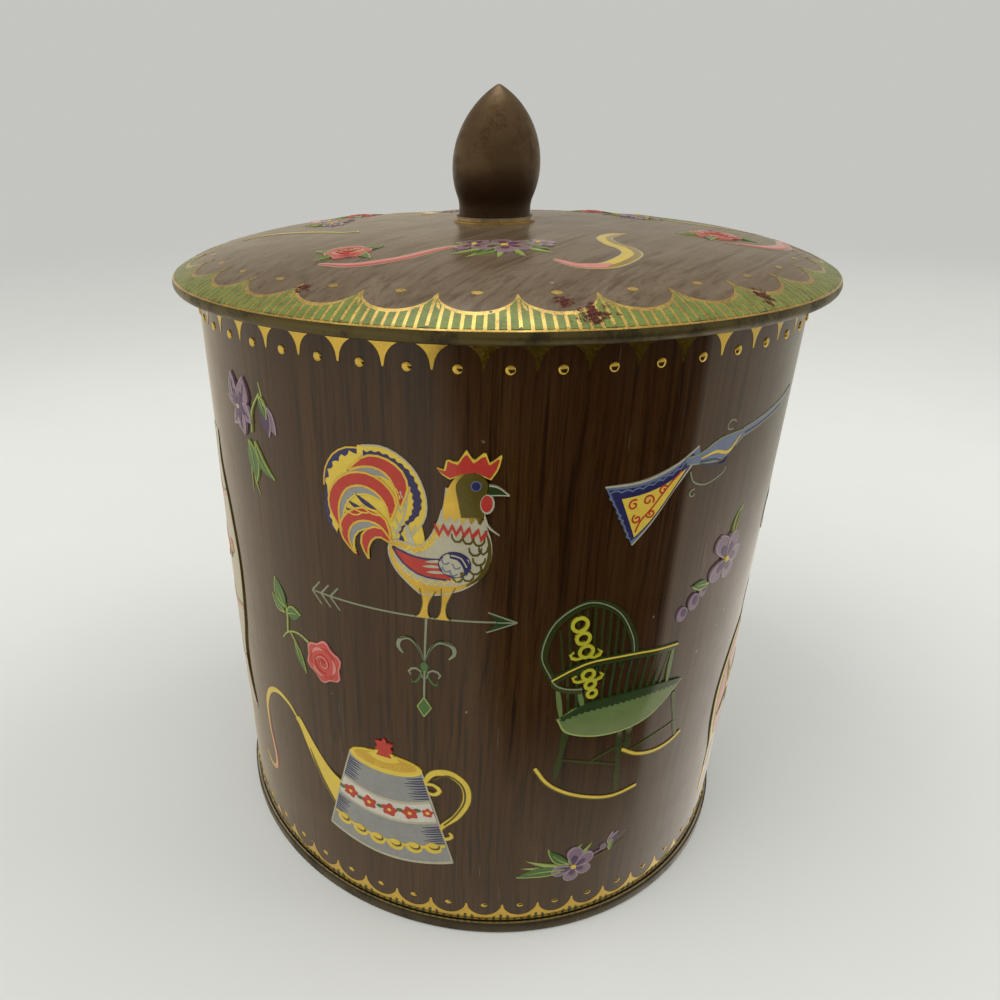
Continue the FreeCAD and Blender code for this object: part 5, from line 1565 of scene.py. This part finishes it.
def draw_bellows(d):
    """Fireside bellows: a leaf-shaped board with a coloured panel and a painted flower, a
    nozzle and two handles."""
    d.bulges = ((0, 2, 11, 18, 1),)
    d.blade([(0, 20), (-6, 14), (-8.8, 4), (-6.4, -6), (-2.2, -14), (-1.2, -20)],
            [(0, 20), (6, 14), (8.8, 4), (6.4, -6), (2.2, -14), (1.2, -20)], "yellow", 1, edge="olive",
            edge_width=0.4)
    d.blade([(0, 17.6), (-4.8, 12.6), (-7.2, 4), (-5, -5), (-1.6, -11)],
            [(0, 17.6), (4.8, 12.6), (7.2, 4), (5, -5), (1.6, -11)], "rose", 1.8, edge="cream",
            edge_width=0.3)
    d.stroke([(0, -20), (0, -27)], (2, 1), "gold", 1.6)
    for way in (-1, 1):
        d.stroke([(way, 19), (way * 2.6, 24), (way * 1.6, 27)], (1.4, 1.8, 1.2), "olive", 1)
        d.leaf((way * 0.6, 2), (way * 5.2, 9), 1.8, "leaf", 2.6, 0.4 * way)
        d.leaf((way * 0.6, 1), (way * 4.2, -5), 1.6, "leaf", 2.6, -0.4 * way)
    d.disc(0, 3, 2.6, 2.8, "yellow", 3.4, 6, 0.2, 0.3, steps=14)
    d.disc(0, 3, 0.9, 0.9, "red", 4.1, steps=8)


def draw_ribbon(d, points, widths, ink="pink", shade="rose"):
    """A ribbon that turns over: a broad stroke with a darker edge along one side."""
    points = np.asarray(points, float)
    widths = np.broadcast_to(np.asarray(widths, float), len(points))
    d.stroke(points, widths + 0.5, "cream", 1)
    d.stroke(points, widths, ink, 1.7)
    side = np.gradient(points, axis=0)
    side /= np.hypot(side[:, 0], side[:, 1])[:, None]
    side = side_by_side(-side[:, 1], side[:, 0])
    d.stroke(points - side * widths[:, None] * 0.28, widths * 0.38, shade, 2.4)


def draw_lid_rose(d):
    """A rose with leaves whose tail is a long pink ribbon."""
    d.bulges = ((0, 0, 7, 7, 0.8),)
    draw_ribbon(d, [(-4.2, -7.2), (3, -9.6), (10.6, -6.8), (17.6, 0.4), (23.6, 4.6)],
                (0.5, 2, 2.4, 1.8, 0.4))
    for tip, bend in (((-6.8, 3), 0.4), ((6.4, 4.6), -0.4), ((5, -5.6), 0.4), ((-5.4, -4.8), -0.4)):
        d.leaf((0, 0), tip, 2.4, "leaf", 1, bend)
    draw_rose(d, 0, 0, 0.9, 0.2)


def draw_lid_violets(d):
    """Three violets over fine grass."""
    d.bulges = ((0, 0, 9, 7, 0.8),)
    for tip in ((-8.6, -5), (-6, -7.2), (-1, -7.6), (3.4, -7), (8, -4.4), (9.6, 1.2), (-9.8, 0.6),
                (5.2, 5.4)):
        d.leaf((0, 0), tip, 1.2, "lime", 1, 0.3, edge=None, vein=None)
    for tip in ((-7.4, 3.2), (7.4, -2.2), (-4.6, -6)):
        d.leaf((0, 0), tip, 2.6, "leaf", 1.6, 0.4)
    for x, y, size, turn in ((-4.4, 0.6, 0.66, 20), (6, 2.4, 0.56, -15), (0.4, -0.6, 0.86, 0)):
        draw_violet(d, x, y, size, turn, "rosy", "plum")


def draw_lid_scroll(d):
    """A ribbon in an S, pink at its tail and yellow at its head."""
    draw_ribbon(d, [(-8.8, -5.6), (-5.4, -9), (-1.3, -8.8), (2, -6), (5.3, 0.4), (4.9, 5.4),
                    (3.2, 8.6), (2.2, 12.5), (2.4, 16), (4.6, 19.6), (7.2, 21.4)],
                (0.5, 1.8, 2.6, 3.2, 3.4, 3.2, 3, 2.8, 2.6, 2.4, 0.6), "yellow", "gold")
    d.stroke([(-8.8, -5.6), (-5.4, -9), (-1.3, -8.8), (0.6, -7.4)], (0.5, 1.8, 2.4, 0.6), "pink", 3.2)


def draw_lid_streamer(d):
    """A thin gold streamer that rises, bends and curls at its end."""
    line = [(-11.6, 1.4), (-7, 3.4), (-0.9, 3), (6.4, 0), (13, -3.6), (15.8, -3.2), (15.6, -5.2)]
    d.stroke(line, (0.6, 1.5, 1.6, 1.4, 1.2, 1, 0.4), "sage", 1)
    d.stroke(line, (0.3, 1, 1.1, 0.9, 0.7, 0.5, 0.2), "yellow", 1.7)


HALF_TURN = math.pi * WALL_RADIUS                 # the pictures repeat at the back


def twice(across, *rest):
    """A place on the wall and the same place half round the tin."""
    return (across, *rest), (HALF_TURN + across, *rest)


# name, what draws it, places as (arc from the front, height, size, turn, mirror)
WALL_PICTURES = (
    ("Weathervane_rooster", draw_rooster, twice(-9.4, 88.4)),
    ("Coffee_pot", draw_coffee_pot, twice(-20, 35)),
    ("Rocking_chair", draw_rocking_chair, twice(28, 65)),
    ("Long_gun", draw_long_gun, twice(30, 110)),
    ("Rose_sprays", draw_rose_spray, twice(-33.9, 70.4) + twice(103, 96, 1.05, 12, -1)),
    ("Violet_sprigs", draw_violet_sprig, twice(-52, 121) + twice(101, 44, 1.05, -8, -1)),
    ("Violet_trails", draw_violet_trail, ((53.4, 92.4, 1.12), (HALF_TURN + 53.6, 92.6))),
    ("Violet_bunches", draw_violet_bunch, ((23.6, 19.8, 1.08), (HALF_TURN + 24, 19.6, 0.96))),
    ("Tall_jugs", draw_tall_jug, twice(-76, 74, 1, 0, -1)),
    ("Ladles", draw_ladle, twice(82, 92, 1, -14)),
    ("Bellows", draw_bellows, twice(75.5, 46, 1.1, -12)),
)


def lid_place(bearing, radius, spin):
    """Plan place on the lid and the turn that keeps a picture's top towards the knob."""
    turn = math.radians(bearing)
    return (radius * math.sin(turn), -radius * math.cos(turn)), bearing + spin


# name, what draws it, places as (bearing, radius, size, extra turn)
LID_PICTURES = (
    ("Lid_roses", draw_lid_rose, ((-34.6, 47.8, 1, 34.6), (73.4, 47.9, 1.1, -45), (145, 46, 0.95, 20),
                                  (-128, 46, 1, 10))),
    ("Lid_violets", draw_lid_violets, ((2.4, 37.4, 1.15, 0), (118, 40, 1, 0), (-170, 34, 1, 0),
                                       (-100, 40, 0.9, 0))),
    ("Lid_ribbons", draw_lid_scroll, ((25, 46, 1, -25), (-152, 47, 1, 0), (178, 46, 1, 10))),
    ("Lid_streamers", draw_lid_streamer, ((-75, 46.6, 1, 75), (100, 50, 1, 60))),
)


def make_pictures(rows, surface, body, slot):
    """One piece for each picture, with all its places in it."""
    for name, draw, places in rows:
        drawing = Drawing(surface)
        for place in places:
            if surface is on_wall:
                drawing.move(place[:2], *place[2:])
            else:
                bearing, radius, size, spin = place
                at, turn = lid_place(bearing, radius, spin)
                drawing.move(at, size, turn)
            draw(drawing)
        drawing.piece(name, body, slot)


# ---------------------------------------------------------------- stage

def make_camera():
    """The camera: turned a little left of the tin's front, looking down, leaning a touch."""
    yaw, pitch, lean = -0.1170125, 0.4575686, 0.0157972
    look = np.array([math.sin(yaw) * math.cos(pitch), math.cos(yaw) * math.cos(pitch), -math.sin(pitch)])
    right = np.array([math.cos(yaw), -math.sin(yaw), 0.0])
    down = np.cross(look, right)
    side = right * math.cos(lean) + down * math.sin(lean)
    under = -right * math.sin(lean) + down * math.cos(lean)
    lens = bpy.data.cameras.new("Camera")
    lens.sensor_width, lens.lens = 36.0, 26.85
    lens.shift_x, lens.shift_y = 0.0947, 0.0031
    lens.clip_start = 0.01
    place = (0.0, -0.18407, 0.17035)
    camera = bpy.data.objects.new("Camera", lens)
    camera.matrix_world = Matrix([(side[i], -under[i], -look[i], place[i]) for i in range(3)]
                                 + [(0, 0, 0, 1)])
    bpy.context.collection.objects.link(camera)
    bpy.context.scene.camera = camera


def soft_light(name, place, aim, size, watts):
    """A square area light at place, facing aim."""
    data = bpy.data.lights.new(name, "AREA")
    data.shape, data.size, data.energy = "SQUARE", size, watts
    lamp = bpy.data.objects.new(name, data)
    out = np.asarray(place, float) - np.asarray(aim, float)
    out /= np.linalg.norm(out)
    side = np.cross((0, 0, 1), out)
    side = side / np.linalg.norm(side) if np.linalg.norm(side) > 1e-6 else np.array([1.0, 0, 0])
    top = np.cross(out, side)
    lamp.matrix_world = Matrix([[side[i], top[i], out[i], place[i]] for i in range(3)] + [[0, 0, 0, 1]])
    lamp.visible_camera = False
    lamp.visible_glossy = False
    bpy.context.collection.objects.link(lamp)


# Bearings in radians over which the room's dark side begins and ends
DARK_FROM, DARK_TO = (-0.12, 0.22), (1.36, 1.44)


def make_world():
    """A pale studio all round. Seen directly it is an even pale grey; mirrored in the
    tin it is bright but for an open, dark side of the room at the front right."""
    world = bpy.data.worlds.new("Studio")
    bpy.context.scene.world = world
    world.use_nodes = True
    nodes = Nodes(world.node_tree)
    place = nodes.node("ShaderNodeTexCoord").outputs["Generated"]
    where = nodes.node("ShaderNodeSeparateXYZ", Vector=place).outputs
    bearing = nodes.math("ARCTAN2", where[0], nodes.times(where[1], -1.0))
    level = where[2]
    slant = nodes.times(nodes.plus(nodes.math("MINIMUM", level, -0.25), 0.62), 1.0)
    open_side = nodes.times(nodes.ramp(nodes.plus(bearing, slant), *DARK_FROM),
                            nodes.ramp(bearing, *DARK_TO[::-1]))
    height = nodes.math("MAXIMUM", nodes.ramp(level, 0.0, -0.2),
                        nodes.times(nodes.ramp(level, 0.85, 0.45), 0.35))
    open_side = nodes.times(open_side, nodes.times(height, nodes.ramp(level, -0.76, -0.65)))
    left = nodes.mix(nodes.ramp(level, -0.70, -0.45), (0.50, 0.43, 0.32), (0.62, 0.55, 0.43))
    right = nodes.mix(nodes.ramp(level, -0.52, -0.32), (0.75, 0.69, 0.60), (0.44, 0.41, 0.34))
    side = nodes.mix(nodes.ramp(bearing, 1.0, 2.0), left, right)
    overhead = nodes.mix(nodes.ramp(level, 0.05, 0.35), side, (0.34, 0.30, 0.235))
    overhead = nodes.mix(nodes.ramp(level, 0.5, 0.9), overhead, (0.46, 0.41, 0.32))
    window = nodes.ramp(nodes.vector("DOT_PRODUCT", place, (-0.05, 0.31, 0.95)), 0.93, 0.985)
    overhead = nodes.mix(window, overhead, (1.9, 1.8, 1.6))
    mirrored = nodes.mix(open_side, overhead, (0.012, 0.009, 0.004))
    seen = nodes.mix(nodes.ramp(level, -0.54, -0.16), (0.72, 0.725, 0.69), (0.555, 0.56, 0.53))
    rays = nodes.node("ShaderNodeLightPath").outputs
    tone = nodes.mix(rays["Is Camera Ray"], nodes.mix(rays["Is Glossy Ray"], (0.62, 0.63, 0.65), mirrored),
                     seen)
    light = nodes.node("ShaderNodeBackground", Color=tone, Strength=1.0)
    nodes.feed(nodes.node("ShaderNodeOutputWorld").inputs["Surface"], light.outputs[0])


def make_floor():
    """A pale paper floor, a disc that fades into the studio far from the tin."""
    radius = sizes().floor_radius / MM
    reach = np.array([0.0, 0.05, 0.12, 0.25, 0.5, 0.75, 1.0]) * radius
    outline = np.concatenate([side_by_side(reach, np.zeros(7)),
                              side_by_side(reach[::-1], np.full(7, -2.0))])
    angle, r = np.meshgrid(np.linspace(0, 2 * np.pi, 96, endpoint=False), outline[:, 0], indexing="ij")
    z = np.broadcast_to(outline[:, 1], r.shape)
    points = side_by_side(r * np.sin(angle), -r * np.cos(angle), z).reshape(-1, 3)
    points, quads, triangles, _, _ = weld(points, grid_quads(r.shape, True, True), np.zeros(r.size, int))
    mesh = bpy.data.meshes.new("Floor")
    mesh.from_pydata((points * MM).tolist(), [], quads.tolist() + triangles.tolist())
    material, nodes, shader, place = new_finish("Floor_paper")
    far = nodes.vector("LENGTH", place)
    mottle = nodes.noise(place, 0.02, 4.0)
    fibre = nodes.noise(place, 1.1, 4.0, 0.7)
    base = nodes.mix(nodes.plus(nodes.times(mottle, 0.5), nodes.times(fibre, 0.3)),
                     (0.71, 0.71, 0.655), (0.77, 0.77, 0.715))
    nodes.fill(shader, Base_Color=base, Roughness=nodes.plus(0.72, nodes.times(fibre, 0.2)),
               Specular_IOR_Level=0.0, Alpha=nodes.ramp(far, radius * 0.85, radius * 0.2))
    bump(nodes, shader, fibre, 0.08, 0.0002)
    mesh.materials.append(material)
    floor = bpy.data.objects.new("Floor", mesh)
    floor.visible_glossy = False
    bpy.context.collection.objects.link(floor)


def set_stage():
    scene = bpy.context.scene
    scene.view_settings.view_transform = "Standard"
    make_camera()
    make_world()
    make_floor()
    soft_light("Key_light", (-0.75, -0.35, 1.25), (0, 0, 0.05), 1.0, 9.0)
    soft_light("Fill_light", (0.95, 0.25, 1.15), (0, 0, 0.05), 1.0, 7.0)


# ---------------------------------------------------------------- operators, panel and main

class TIN_OT_body_wall(bpy.types.Operator):
    """Builds the tin's wall with its rolled mouth, folded foot and lock seam"""
    bl_idname = "tin.body_wall"
    bl_label = "Body wall"

    def execute(self, context):
        make_body_wall()
        return {"FINISHED"}


class TIN_OT_bottom_end(bpy.types.Operator):
    """Builds the seamed bottom"""
    bl_idname = "tin.bottom_end"
    bl_label = "Bottom"

    def execute(self, context):
        make_bottom_end()
        return {"FINISHED"}


class TIN_OT_lid(bpy.types.Operator):
    """Builds the domed lid and the collar under it"""
    bl_idname = "tin.lid"
    bl_label = "Lid and collar"

    def execute(self, context):
        make_lid_cover()
        make_lid_collar()
        return {"FINISHED"}


class TIN_OT_knob(bpy.types.Operator):
    """Builds the acorn knob and its ring, and dresses the fixings that hold them"""
    bl_idname = "tin.knob"
    bl_label = "Knob"

    def execute(self, context):
        make_knob_shell()
        make_knob_ring()
        dress_cad_pieces()
        return {"FINISHED"}


class TIN_OT_borders(bpy.types.Operator):
    """Lays the gold and green borders on the wall and on the lid"""
    bl_idname = "tin.borders"
    bl_label = "Borders"

    def execute(self, context):
        make_wall_borders()
        make_lid_border()
        return {"FINISHED"}


class TIN_OT_wall_pictures(bpy.types.Operator):
    """Lays the embossed pictures on the wall"""
    bl_idname = "tin.wall_pictures"
    bl_label = "Wall pictures"

    def execute(self, context):
        make_pictures(WALL_PICTURES, on_wall, "tin", "litho_body")
        return {"FINISHED"}


class TIN_OT_lid_pictures(bpy.types.Operator):
    """Lays the flowers and ribbons on the lid"""
    bl_idname = "tin.lid_pictures"
    bl_label = "Lid pictures"

    def execute(self, context):
        make_pictures(LID_PICTURES, on_lid, "lid", "litho_lid")
        return {"FINISHED"}


class TIN_OT_stage(bpy.types.Operator):
    """Sets the floor, the studio, the lights and the camera"""
    bl_idname = "tin.stage"
    bl_label = "Stage"

    def execute(self, context):
        set_stage()
        return {"FINISHED"}


class TIN_PT_panel(bpy.types.Panel):
    """Lists the tin's pieces with its sizes and colours"""
    bl_idname = "TIN_PT_panel"
    bl_label = "Biscuit tin"
    bl_space_type = "VIEW_3D"
    bl_region_type = "UI"
    bl_category = "Tin"

    def draw(self, context):
        layout = self.layout
        for operator in OPERATORS:
            layout.operator(operator.bl_idname)
        for group in (context.scene.tin_sizes, context.scene.tin_colours):
            box = layout.box()
            for name in group.__annotations__:
                box.prop(group, name)


OPERATORS = (TIN_OT_body_wall, TIN_OT_bottom_end, TIN_OT_lid, TIN_OT_knob, TIN_OT_borders,
             TIN_OT_wall_pictures, TIN_OT_lid_pictures, TIN_OT_stage)
CLASSES = (TinSizes, TinColours) + OPERATORS + (TIN_PT_panel,)


def register():
    for item in CLASSES:
        bpy.utils.register_class(item)
    bpy.types.Scene.tin_sizes = PointerProperty(type=TinSizes)
    bpy.types.Scene.tin_colours = PointerProperty(type=TinColours)


def unregister():
    del bpy.types.Scene.tin_colours
    del bpy.types.Scene.tin_sizes
    for item in reversed(CLASSES):
        bpy.utils.unregister_class(item)


def main():
    """Registers the add-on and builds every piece."""
    register()
    bpy.ops.tin.body_wall()
    bpy.ops.tin.bottom_end()
    bpy.ops.tin.lid()
    bpy.ops.tin.knob()
    bpy.ops.tin.borders()
    bpy.ops.tin.wall_pictures()
    bpy.ops.tin.lid_pictures()
    bpy.ops.tin.stage()


if __name__ == "__main__":
    main()
